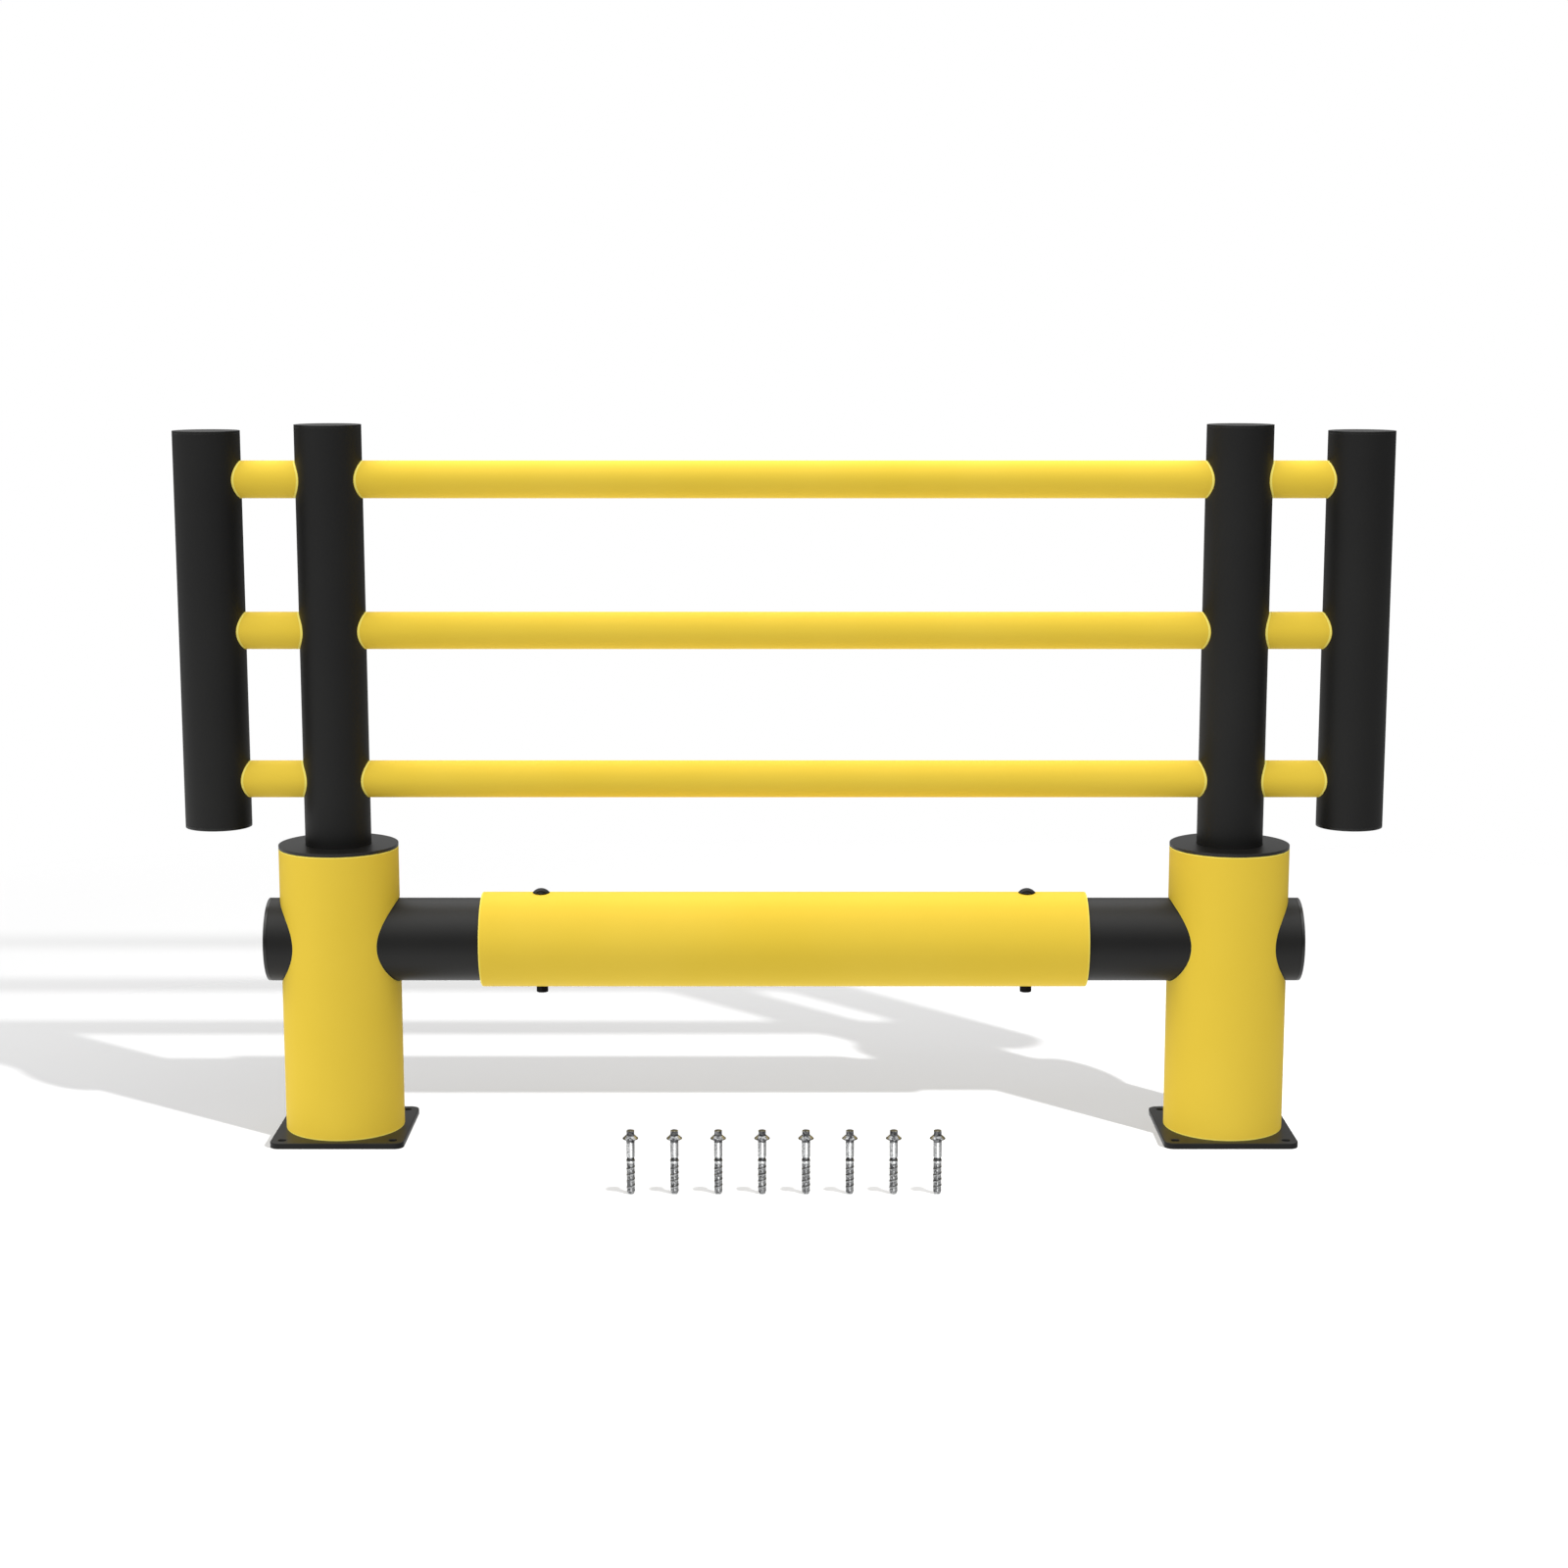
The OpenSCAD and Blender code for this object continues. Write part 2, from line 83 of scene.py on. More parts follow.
# %% [markdown]
# ## The camera
# A long lens far back keeps the tubes' sides nearly parallel. The camera looks down by a few degrees
# from above the handrail, so the floor fills the lower part of the view.

# %% Place the camera
CAMERA_DISTANCE = 4.604
CAMERA_HEIGHT = 1.372
CAMERA_PITCH = math.radians(9.505)
CAMERA_LENS, CAMERA_SENSOR = 63.88, 36

camera_data = bpy.data.cameras.new("camera")
camera_data.lens = CAMERA_LENS
camera_data.sensor_width = CAMERA_SENSOR
camera = bpy.data.objects.new("camera", camera_data)
camera.location = (0, -CAMERA_DISTANCE, CAMERA_HEIGHT)
camera.rotation_euler = (math.pi / 2 - CAMERA_PITCH, 0, 0)
bpy.context.scene.collection.objects.link(camera)
bpy.context.scene.camera = camera
print("camera at", tuple(round(v, 3) for v in camera.location))

# %% [markdown]
# ## A way to write materials
# Each finish is a small tree of shader nodes. One helper adds any node with its settings and links,
# and one turns a hex colour, which is written in sRGB, into the linear values that shaders use. Real
# plastic and plating are never one flat colour, so most finishes drift between two close colours.

# %% Helpers for materials
def colour(hex_code):
    """A linear RGBA colour from an sRGB hex code such as '#EDCE47'."""
    channels = [int(hex_code[i : i + 2], 16) / 255 for i in (1, 3, 5)]
    return (*[c / 12.92 if c <= 0.04045 else ((c + 0.055) / 1.055) ** 2.4 for c in channels], 1)


def add(tree, kind, inputs=None, **settings):
    """Adds a shader node. inputs gives a value, or another node's output, for each input socket."""
    node = tree.nodes.new(kind)
    for name, value in settings.items():
        setattr(node, name, value)
    for name, value in (inputs or {}).items():
        if isinstance(value, bpy.types.NodeSocket):
            tree.links.new(value, node.inputs[name])
        else:
            node.inputs[name].default_value = value
    return node


def start_material(name):
    """A new material, its node tree, its shader and the place on the object in metres."""
    material = bpy.data.materials.new(name)
    material.use_nodes = True
    tree = material.node_tree
    shader = tree.nodes["Principled BSDF"]
    place = add(tree, "ShaderNodeTexCoord").outputs["Object"]
    return material, tree, shader, place


# A noise runs from 0 to 1, but hardly any of its values lie outside these two.
NOISE_LOW, NOISE_HIGH = 0.3, 0.7


def drift(tree, shader, noise, dark, light):
    """Lets the shader's colour drift between dark and light with the values of a noise."""
    limits = {"From Min": NOISE_LOW, "From Max": NOISE_HIGH}
    share = add(tree, "ShaderNodeMapRange", {"Value": noise, **limits})
    tint = add(
        tree,
        "ShaderNodeMix",
        {"Factor": share.outputs["Result"], "A": colour(dark), "B": colour(light)},
        data_type="RGBA",
    )
    tree.links.new(tint.outputs["Result"], shader.inputs["Base Color"])


# %% [markdown]
# ## Extruded polymer
# The tubes are an extruded polyolefin blend, coloured right through. The die leaves faint lines along
# each tube, the cooling skin has a fine pebble, and the surface is satin, not glossy. A plain coat of
# paint would not show the lines, so two noises are mixed: one drawn out along the tube's axis and one
# even. The lines are really a fraction of a millimetre apart and are drawn coarser so that they show.

# %% Make the polymer materials
DIE_LINE_SPACING = 6 * MM
PEBBLE_SIZE = 3.5 * MM
CLOUD_SIZE = 260 * MM
LINE_STRETCH = 0.02
RELIEF_HEIGHT, RELIEF_STRENGTH = 0.1 * MM, 0.35
ROUGHNESS_SPREAD = 0.05
POLYMER_IOR = 1.49


def extruded_polymer(name, dark, light, along, roughness, specular):
    """Polymer tube whose die lines run along axis 0 (X) or 2 (Z)."""
    material, tree, shader, place = start_material(name)
    stretch = [1, 1, 1]
    stretch[along] = LINE_STRETCH
    drawn_out = add(tree, "ShaderNodeMapping", {"Vector": place, "Scale": stretch})
    lines = add(
        tree,
        "ShaderNodeTexNoise",
        {"Vector": drawn_out.outputs["Vector"], "Scale": 1 / DIE_LINE_SPACING, "Detail": 2.0},
    )
    pebble = add(tree, "ShaderNodeTexNoise", {"Vector": place, "Scale": 1 / PEBBLE_SIZE, "Detail": 3.0})
    cloud = add(tree, "ShaderNodeTexNoise", {"Vector": place, "Scale": 1 / CLOUD_SIZE, "Detail": 4.0})
    drift(tree, shader, cloud.outputs["Fac"], dark, light)
    smoothest, roughest = roughness - ROUGHNESS_SPREAD, roughness + ROUGHNESS_SPREAD
    worn = add(
        tree,
        "ShaderNodeMapRange",
        {"Value": pebble.outputs["Fac"], "To Min": smoothest, "To Max": roughest},
    )
    tree.links.new(worn.outputs["Result"], shader.inputs["Roughness"])
    relief = add(
        tree,
        "ShaderNodeMath",
        {0: lines.outputs["Fac"], 1: pebble.outputs["Fac"]},
        operation="ADD",
    )
    bump = add(
        tree,
        "ShaderNodeBump",
        {"Height": relief.outputs["Value"], "Distance": RELIEF_HEIGHT, "Strength": RELIEF_STRENGTH},
    )
    tree.links.new(bump.outputs["Normal"], shader.inputs["Normal"])
    shader.inputs["IOR"].default_value = POLYMER_IOR
    shader.inputs["Specular IOR Level"].default_value = specular
    print("material", name)
    return material


YELLOW = dict(dark="#EBCA42", light="#EFCE49", roughness=0.5, specular=0.04)
BLACK = dict(dark="#151515", light="#1B1B1A", roughness=0.48, specular=0.3)
yellow_upright = extruded_polymer("yellow polymer, upright tubes", along=2, **YELLOW)
yellow_level = extruded_polymer("yellow polymer, level tubes", along=0, **YELLOW)
black_upright = extruded_polymer("black polymer, upright tubes", along=2, **BLACK)
black_level = extruded_polymer("black polymer, level tubes", along=0, **BLACK)

# The rims and hole edges of the yellow tubes are a little paler: a painted highlight along them.
EDGE_HIGHLIGHT = {**YELLOW, "dark": "#FBE564", "light": "#FFEC70"}
yellow_edge_highlight = extruded_polymer("yellow polymer, painted edge highlight", along=2, **EDGE_HIGHLIGHT)

# %% [markdown]
# ## Moulded polymer
# The caps and collars are moulded from the same black blend. A spark-eroded mould gives them an even
# grain with no direction. The grain is coarse, but the skin between its pits has set against polished
# steel, so the caps shine a little more than the tubes. Cells suit such a grain better than clouds.

# %% Make the moulded polymer
GRAIN_SIZE, GRAIN_DEPTH, GRAIN_STRENGTH = 2.5 * MM, 0.12 * MM, 0.3


def moulded_polymer(name, dark, light, roughness, specular):
    """Moulded polymer with an even grain."""
    material, tree, shader, place = start_material(name)
    grain = add(tree, "ShaderNodeTexVoronoi", {"Vector": place, "Scale": 1 / GRAIN_SIZE})
    cloud = add(tree, "ShaderNodeTexNoise", {"Vector": place, "Scale": 1 / CLOUD_SIZE, "Detail": 5.0})
    drift(tree, shader, cloud.outputs["Fac"], dark, light)
    bump = add(
        tree,
        "ShaderNodeBump",
        {"Height": grain.outputs["Distance"], "Distance": GRAIN_DEPTH, "Strength": GRAIN_STRENGTH},
    )
    tree.links.new(bump.outputs["Normal"], shader.inputs["Normal"])
    shader.inputs["Roughness"].default_value = roughness
    shader.inputs["IOR"].default_value = POLYMER_IOR
    shader.inputs["Specular IOR Level"].default_value = specular
    print("material", name)
    return material


black_moulded = moulded_polymer("moulded black polymer", "#0F0F0F", "#151514", roughness=0.34, specular=0.6)

# %% [markdown]
# ## Powder-coated steel
# The base plates are thick steel under a black powder coat. The melted powder levels into a soft
# orange peel a few millimetres across, and it is glossier than the polymer, so the plates pick up a
# dim reflection of the yellow posts that stand on them. The bolts have a smoother, glossier black coat
# of the same kind. The steel inside the posts is zinc plated: bright metal with a mottled skin.

# %% Make the coated and plated steels
ORANGE_PEEL_SIZE, ORANGE_PEEL_DEPTH = 4 * MM, 0.15 * MM
DUST_SIZE = 60 * MM
COAT_IOR = 1.5
MOTTLE_SIZE, MOTTLE_SPREAD = 5 * MM, 0.08


def powder_coat(name, dark, light, roughness, peel, specular):
    """Black coat with an orange peel, which is the stronger the nearer peel is to 1."""
    material, tree, shader, place = start_material(name)
    waves = add(tree, "ShaderNodeTexNoise", {"Vector": place, "Scale": 1 / ORANGE_PEEL_SIZE, "Detail": 1.0})
    dust = add(tree, "ShaderNodeTexNoise", {"Vector": place, "Scale": 1 / DUST_SIZE, "Detail": 6.0})
    drift(tree, shader, dust.outputs["Fac"], dark, light)
    bump = add(
        tree,
        "ShaderNodeBump",
        {"Height": waves.outputs["Fac"], "Distance": ORANGE_PEEL_DEPTH, "Strength": peel},
    )
    tree.links.new(bump.outputs["Normal"], shader.inputs["Normal"])
    shader.inputs["Roughness"].default_value = roughness
    shader.inputs["IOR"].default_value = COAT_IOR
    shader.inputs["Specular IOR Level"].default_value = specular
    print("material", name)
    return material


def zinc_plate(name, dark, light, roughness):
    """Zinc plating: bright metal whose passivated skin is faintly mottled."""
    material, tree, shader, place = start_material(name)
    mottle = add(tree, "ShaderNodeTexNoise", {"Vector": place, "Scale": 1 / MOTTLE_SIZE, "Detail": 4.0})
    drift(tree, shader, mottle.outputs["Fac"], dark, light)
    smoothest, roughest = roughness - MOTTLE_SPREAD, roughness + MOTTLE_SPREAD
    dull = add(
        tree,
        "ShaderNodeMapRange",
        {"Value": mottle.outputs["Fac"], "To Min": smoothest, "To Max": roughest},
    )
    tree.links.new(dull.outputs["Result"], shader.inputs["Roughness"])
    shader.inputs["Metallic"].default_value = 1.0
    print("material", name)
    return material


PLATE_COAT = dict(dark="#1A1A1A", light="#222221", roughness=0.4, peel=0.3, specular=0.2)
BOLT_COAT = dict(dark="#060606", light="#0A0A0A", roughness=0.2, peel=0.1, specular=0.13)
plate_coat = powder_coat("black powder coat on steel", **PLATE_COAT)
bolt_coat = powder_coat("gloss black coat on bolts", **BOLT_COAT)
zinc = zinc_plate("zinc plating on steel", "#A9ACAF", "#D4D6D8", roughness=0.28)

# %% [markdown]
# ## Zinc with wear and painted light
# The floor anchors are zinc-plated too, and they are stained in patches a few millimetres across. How
# bright the plating is at each point is set by a value made with their shape, which is partly wear and
# partly painted light: painted highlights, painted shade, and the thread's roots painted nearly black.
# A noise alone would put the bright places anywhere, so the anchors' own mesh says where they are.

# %% Make the zinc with wear and painted light
STAIN_SIZE, STAIN_STRENGTH = 3 * MM, 0.2


def zinc_with_painted_light(name, dull, bright, roughness):
    """Zinc that is dull or bright by the mesh's own "wear_and_painted_light" value, 0 to 1, and stained."""
    material, tree, shader, place = start_material(name)
    wear_and_painted_light = add(tree, "ShaderNodeAttribute", attribute_name="wear_and_painted_light")
    # The value holds painted highlights and painted shade as well as wear.
    stains = add(tree, "ShaderNodeTexNoise", {"Vector": place, "Scale": 1 / STAIN_SIZE, "Detail": 3.0})
    patchy = add(
        tree,
        "ShaderNodeMapRange",
        {
            "Value": stains.outputs["Fac"],
            "From Min": NOISE_LOW,
            "From Max": NOISE_HIGH,
            "To Min": -STAIN_STRENGTH,
            "To Max": STAIN_STRENGTH,
        },
    )
    amount = add(
        tree,
        "ShaderNodeMath",
        {0: wear_and_painted_light.outputs["Fac"], 1: patchy.outputs["Result"]},
        operation="ADD",
    )
    mixed = add(
        tree,
        "ShaderNodeMix",
        {"Factor": amount.outputs[0], "A": colour(dull), "B": colour(bright)},
        data_type="RGBA",
    )
    tree.links.new(mixed.outputs["Result"], shader.inputs["Base Color"])
    shader.inputs["Metallic"].default_value = 1.0
    shader.inputs["Roughness"].default_value = roughness
    print("material", name)
    return material


anchor_zinc = zinc_with_painted_light("zinc plating on the anchors, worn and with painted light", "#2B2C2E", "#F4F5F5", roughness=0.25)

# %% [markdown]
# ## Pultruded glass fibre
# The pins that lock the rails are rods of glass fibre in resin. They are hidden in the posts, and
# their fibres all run along the rod.

# %% Make the glass fibre rod
FIBRE_SIZE = 1.5 * MM
RESIN_IOR = 1.55


def pultruded_rod(name, dark, light, roughness):
    """Glass fibre in resin, with the fibres along Z."""
    material, tree, shader, place = start_material(name)
    drawn_out = add(tree, "ShaderNodeMapping", {"Vector": place, "Scale": (1, 1, LINE_STRETCH)})
    fibres = add(
        tree,
        "ShaderNodeTexNoise",
        {"Vector": drawn_out.outputs["Vector"], "Scale": 1 / FIBRE_SIZE, "Detail": 2.0},
    )
    drift(tree, shader, fibres.outputs["Fac"], dark, light)
    shader.inputs["Roughness"].default_value = roughness
    shader.inputs["IOR"].default_value = RESIN_IOR
    print("material", name)
    return material


glass_fibre = pultruded_rod("pultruded glass fibre", "#C9C3A6", "#E4DFC8", roughness=0.4)

# %% [markdown]
# ## Skins made of rings
# Every piece here is a stack of rings with the same number of points: a pipe is a ring of rings, a
# cap closes on its axis, a bolt's hexagon is a ring whose radius follows the hexagon. One function
# joins rings into a skin, so no piece needs a stock cylinder. Tubes have many points around, and the
# slimmer bolts, holes and anchors have fewer.

# %% Helpers for shapes
AROUND, FINE = 128, 48


def skin(name, rings, ring_loop=False):
    """A closed mesh over rings of equal length. With ring_loop the last ring joins the first, and
    without it the first and last rings are closed by flat faces."""
    count = len(rings[0])
    points = [p for ring in rings for p in ring]
    pairs = len(rings) if ring_loop else len(rings) - 1
    faces = []
    for i in range(pairs):
        low, high = i * count, ((i + 1) % len(rings)) * count
        for j in range(count):
            k = (j + 1) % count
            faces.append((low + j, low + k, high + k, high + j))
    if not ring_loop:
        faces.append(tuple(reversed(range(count))))
        faces.append(tuple(range(len(points) - count, len(points))))
    mesh = bpy.data.meshes.new(name)
    mesh.from_pydata(points, [], faces)
    work = bmesh.new()
    work.from_mesh(mesh)
    bmesh.ops.recalc_face_normals(work, faces=work.faces)
    work.to_mesh(mesh)
    work.free()
    piece = bpy.data.objects.new(name, mesh)
    bpy.context.scene.collection.objects.link(piece)
    return piece


def bend(start, corner, end, t):
    """The point at t, from 0 to 1, on a smooth curve from start to end that leans to the corner."""
    return start * (1 - t) ** 2 + corner * 2 * t * (1 - t) + end * t**2


def rounded(corners, steps=5):
    """An outline from corners (radius, height, rounding): each rounding is a smooth curve that starts
    and ends that far from its corner."""
    outline = []
    for i, (r, z, rounding) in enumerate(corners):
        corner = Vector((r, z))
        if rounding == 0:
            outline.append(corner)
            continue
        before = Vector(corners[i - 1][:2]) - corner
        after = Vector(corners[(i + 1) % len(corners)][:2]) - corner
        start = corner + before.normalized() * rounding
        end = corner + after.normalized() * rounding
        outline += [bend(start, corner, end, step / steps) for step in range(steps + 1)]
    return outline


def turns(count):
    """Angles of count equal steps around a full turn."""
    return [2 * math.pi * i / count for i in range(count)]


def circle(r, z, around=AROUND):
    """A level ring about Z."""
    return [Vector((r * math.cos(a), r * math.sin(a), z)) for a in turns(around)]


def turned_pipe(name, corners, around=AROUND):
    """A hollow turned piece: its outline, given as corners, never reaches the axis."""
    return skin(name, [circle(p.x, p.y, around) for p in rounded(corners)], ring_loop=True)


def turned_solid(name, corners, around=AROUND):
    """A turned piece that is closed across its axis by its first and last rings."""
    outline = rounded(corners + [(0, corners[-1][1], 0), (0, corners[0][1], 0)])[:-2]
    return skin(name, [circle(p.x, p.y, around) for p in outline])


# %% [markdown]
# ## Placing and finishing a piece
# A joint carries an object from its origin, so a piece is put in its place by moving its mesh, and its
# object stays at the origin. Holes are cut with Booleans, which are applied at once so that later
# steps see the true shape. Flat faces beside rounded edges shade badly when every normal is averaged,
# so the normals are weighted by the faces' areas and kept sharp at true edges.

# %% Helpers for placing and finishing
LAY_ALONG_X = Matrix.Rotation(math.pi / 2, 4, "Y")
SHARP_ANGLE = math.radians(38)


def put(piece, place, turn=None):
    """Moves a piece's mesh, so that its object stays at the origin."""
    piece.data.transform(Matrix.Translation(place) @ (turn or Matrix.Identity(4)))
    return piece


def cut(piece, cutters):
    """Cuts each of the cutter pieces out of the piece, then drops the cutters."""
    for i, cutter in enumerate(cutters):
        modifier = piece.modifiers.new(f"cut {i}", "BOOLEAN")
        modifier.operation = "DIFFERENCE"
        modifier.solver = "EXACT"
        modifier.object = cutter
    bpy.context.view_layer.update()
    shape = piece.evaluated_get(bpy.context.evaluated_depsgraph_get())
    mesh = bpy.data.meshes.new_from_object(shape)
    piece.modifiers.clear()
    piece.data = mesh
    for cutter in cutters:
        bpy.data.objects.remove(cutter)
    return piece


made = []


def finish_piece(piece, body, slot, material, *nodes):
    """Shades the piece smoothly between its true edges and hands it to the frame."""
    piece.data.materials.clear()
    piece.data.materials.append(material)
    piece.data.shade_smooth()
    piece.data.set_sharp_from_angle(angle=SHARP_ANGLE)
    weighted = piece.modifiers.new("flat faces keep their normals", "WEIGHTED_NORMAL")
    weighted.keep_sharp = True
    weighted.weight = 100
    weighted.mode = "FACE_AREA"
    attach(piece, body)
    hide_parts(*nodes)
    made.append(piece)
    print(piece.name, len(piece.data.polygons), "faces")
    return piece


# A face leans away from straight outward where the cosine of its lean is under this.
EDGE_SLOPE = 0.995


def paint_edge_highlight(piece, axis, material):
    """Gives a paler material, a painted highlight, to every face of a tube along axis 0 or 2 that isn't on
    its smooth side: the rims, the bore and the edges of its holes."""
    piece.data.materials.append(material)
    centre = sum((Vector(corner) for corner in piece.bound_box), Vector()) / 8
    for face in piece.data.polygons:
        outward = face.center - centre
        outward[axis] = 0
        if face.normal.dot(outward.normalized()) < EDGE_SLOPE:
            face.material_index = 1
    return piece


# %% [markdown]
# ## Rounding the edge of a hole
# Where a round hole meets a round post, the edge is a saddle curve and the angle of the plastic
# changes all along it, so a stock bevel pinches. A thin sliver is swept along the curve instead, in
# the shape of what a trimming tool would take off, and cut away.

# %% Helpers for drilled tubes
RIM_ROUNDING = 2 * MM
RIM_STEPS = 192


def saddle_sliver(name, post_radius, hole_radius, side, height, rounding=RIM_ROUNDING):
    """The sliver to cut from a post about Z where a hole along X comes out on the +1 or -1 side."""
    rings = []
    for a in turns(RIM_STEPS):
        y, z = hole_radius * math.cos(a), hole_radius * math.sin(a)
        x = side * math.sqrt(post_radius**2 - y**2)
        corner = Vector((x, y, z + height))
        off_post = Vector((x, y, 0)).normalized()
        off_wall = Vector((0, -y, -z)).normalized()
        along = Vector((y * z / x, -z, y)).normalized()
        over_post = off_post.cross(along)
        over_post *= -1 if over_post.dot(off_wall) > 0 else 1
        down_wall = off_wall.cross(along)
        down_wall *= -1 if down_wall.x * side > 0 else 1
        start, end = corner + down_wall * rounding, corner + over_post * rounding
        curve = [bend(start, corner, end, t) for t in (0, 0.25, 0.5, 0.75, 1)]
        outside = [
            end + off_post * rounding / 2,
            corner + (off_post + off_wall) * rounding,
            start + off_wall * rounding / 2,
        ]
        rings.append(curve + outside)
    return skin(name, rings, ring_loop=True)


def join(name, pieces):
    """Several separate meshes as one piece."""
    work = bmesh.new()
    for piece in pieces:
        work.from_mesh(piece.data)
        bpy.data.objects.remove(piece)
    mesh = bpy.data.meshes.new(name)
    work.to_mesh(mesh)
    work.free()
    joined = bpy.data.objects.new(name, mesh)
    bpy.context.scene.collection.objects.link(joined)
    return joined


def drill_across(post, post_radius, hole_radius, heights, sides, rounding=RIM_ROUNDING):
    """Drills holes along X through the wall of a post about Z, and rounds their edges."""
    reach = post_radius * 1.5
    bores, slivers = [], []
    for height in heights:
        low = -reach if -1 in sides else 0
        high = reach if 1 in sides else 0
        bore = turned_solid("bore", [(hole_radius, low, 0), (hole_radius, high, 0)], RIM_STEPS)
        bores.append(put(bore, (0, 0, height), LAY_ALONG_X))
        slivers += [saddle_sliver("sliver", post_radius, hole_radius, s, height, rounding) for s in sides]
    return cut(post, [join("bores", bores), join("slivers", slivers)])


# %% [markdown]
# ## Floor posts
# A floor post is a thick-walled tube that stands over a steel spigot on its base plate. The beam's
# connector passes right through it. The tube is turned from its outline with softened rims, and the
# hole is drilled through both walls.

# %% Make the floor posts
SLIP_GAP = 0.3 * MM
FLOOR_POST_WALL = 12 * MM
POST_RIM = 2.4 * MM


def pipe_corners(radius, wall, low, high, rim):
    """The outline of a pipe about Z whose outer rims are rounded and whose inner rims are eased."""
    inner_rim = rim / 2
    return [
        (radius - wall, low, inner_rim),
        (radius, low, rim),
        (radius, high, rim),
        (radius - wall, high, inner_rim),
    ]


for side in SIDES:
    node, connector = f"floor_post_{side}", f"beam_connector_{side}"
    radius = radius_about(node, 2)
    tube = turned_pipe(node + "_tube", pipe_corners(radius, FLOOR_POST_WALL, *span(node, 2), POST_RIM))
    drill_across(tube, radius, radius_about(connector, 0) + SLIP_GAP, [middle(connector).z], (-1, 1))
    put(tube, (middle(node).x, 0, 0))
    finish_piece(tube, "barrier", "yellow_polymer", yellow_upright, node)
    # Paler rims and hole edges: a painted highlight.
    paint_edge_highlight(tube, 2, yellow_edge_highlight)

# %% [markdown]
# ## Handrail posts and end posts
# The handrail posts are drilled on both sides, because the rails pass through them. The end posts are
# drilled on the inner side only, and the rails end inside them.

# %% Make the handrail posts and end posts
HANDRAIL_WALL = 6.6 * MM
HANDRAIL_RIM = 0.8 * MM
HANDRAIL_HOLE_RIM = 0.8 * MM

rail_hole = radius_about("top_rail", 0) + SLIP_GAP
for side, sign in SIDES.items():
    for node, drilled in ((f"handrail_post_{side}", (-1, 1)), (f"end_post_{side}", (-sign,))):
        radius = radius_about(node, 2)
        corners = pipe_corners(radius, HANDRAIL_WALL, *span(node, 2), HANDRAIL_RIM)
        tube = turned_pipe(node + "_tube", corners)
        drill_across(tube, radius, rail_hole, rail_heights, drilled, HANDRAIL_HOLE_RIM)
        put(tube, (middle(node).x, 0, 0))
        finish_piece(tube, "barrier", "black_polymer", black_upright, node)

# %% [markdown]
# ## Rails, connectors and the beam sleeve
# These are plain lengths of tube that lie along X. The sleeve's ends are rounded more, because that
# is the edge a forklift meets, and slots above and below let its bolts slide when the beam grows in
# the heat or takes a blow. Each rail gets a thin pale ring where it comes out of a post, a painted
# highlight along that edge.

# %% Helpers for the level tubes
RAIL_WALL, RAIL_RIM = 5.8 * MM, 1 * MM
CONNECTOR_WALL, CONNECTOR_RIM = 12.7 * MM, 1 * MM
SLEEVE_WALL, SLEEVE_RIM = 9.5 * MM, 2.4 * MM
SLOT_LENGTH, SLOT_WIDTH, SLOT_CORNER = 26 * MM, 13 * MM, 2 * MM


def level_tube(node, wall, rim):
    """A tube along X in the place of a CAD node."""
    corners = pipe_corners(radius_about(node, 0), wall, *span(node, 0), rim)
    return put(turned_pipe(node + "_tube", corners), (0, 0, middle(node).z), LAY_ALONG_X)


def slot_cutter(x, low, high):
    """An upright bar with the outline of a slot."""
    half_l, half_w = SLOT_LENGTH / 2, SLOT_WIDTH / 2
    corners = [(-half_l, -half_w), (half_l, -half_w), (half_l, half_w), (-half_l, half_w)]
    outline = rounded([(*corner, SLOT_CORNER) for corner in corners])
    return skin("slot", [[Vector((x + p.x, p.y, z)) for p in outline] for z in (low, high)])


# %% Make the rails' polymer
RIM_HIGHLIGHT_WIDTH = 2.8 * MM


def rail_with_painted_rim_highlight(pale, posts):
    """The level tubes' polymer with a paler ring, a painted highlight, around each post. A ring is what
    lies within half a ring's width of a cylinder about the post that is half a ring wider than it."""
    material = yellow_level.copy()
    material.name = "yellow polymer, painted highlight at the posts"
    tree = material.node_tree
    shader = tree.nodes["Principled BSDF"]
    place = add(tree, "ShaderNodeTexCoord").outputs["Object"]
    tint = shader.inputs["Base Color"].links[0].from_socket
    for post in posts:
        axis = middle(post)
        ring_radius = radius_about(post, 2) + RIM_HIGHLIGHT_WIDTH / 2
        aside = add(tree, "ShaderNodeVectorMath", {0: place, 1: (axis.x, axis.y, 0)}, operation="SUBTRACT")
        level_part = add(
            tree,
            "ShaderNodeVectorMath",
            {0: aside.outputs["Vector"], 1: (1, 1, 0)},
            operation="MULTIPLY",
        )
        away = add(tree, "ShaderNodeVectorMath", {0: level_part.outputs["Vector"]}, operation="LENGTH")
        ring = add(
            tree,
            "ShaderNodeMath",
            {0: away.outputs["Value"], 1: ring_radius, 2: RIM_HIGHLIGHT_WIDTH / 2},
            operation="COMPARE",
        )
        highlighted = add(
            tree,
            "ShaderNodeMix",
            {"Factor": ring.outputs["Value"], "A": tint, "B": colour(pale)},
            data_type="RGBA",
        )
        tint = highlighted.outputs["Result"]
    tree.links.new(tint, shader.inputs["Base Color"])
    print("material", material.name)
    return material


highlight_posts = [f"{kind}_post_{side}" for kind in ("handrail", "end") for side in SIDES]
# A pale ring on each rail where it leaves a post: a painted highlight.
rail_polymer = rail_with_painted_rim_highlight("#FFEE78", highlight_posts)

# %% Make the level tubes
for level in RAIL_LEVELS:
    rail = level_tube(f"{level}_rail", RAIL_WALL, RAIL_RIM)
    finish_piece(rail, "barrier", "yellow_polymer", rail_polymer, f"{level}_rail")
for side in SIDES:
    connector = level_tube(f"beam_connector_{side}", CONNECTOR_WALL, CONNECTOR_RIM)
    finish_piece(connector, "barrier", "black_polymer", black_level, f"beam_connector_{side}")

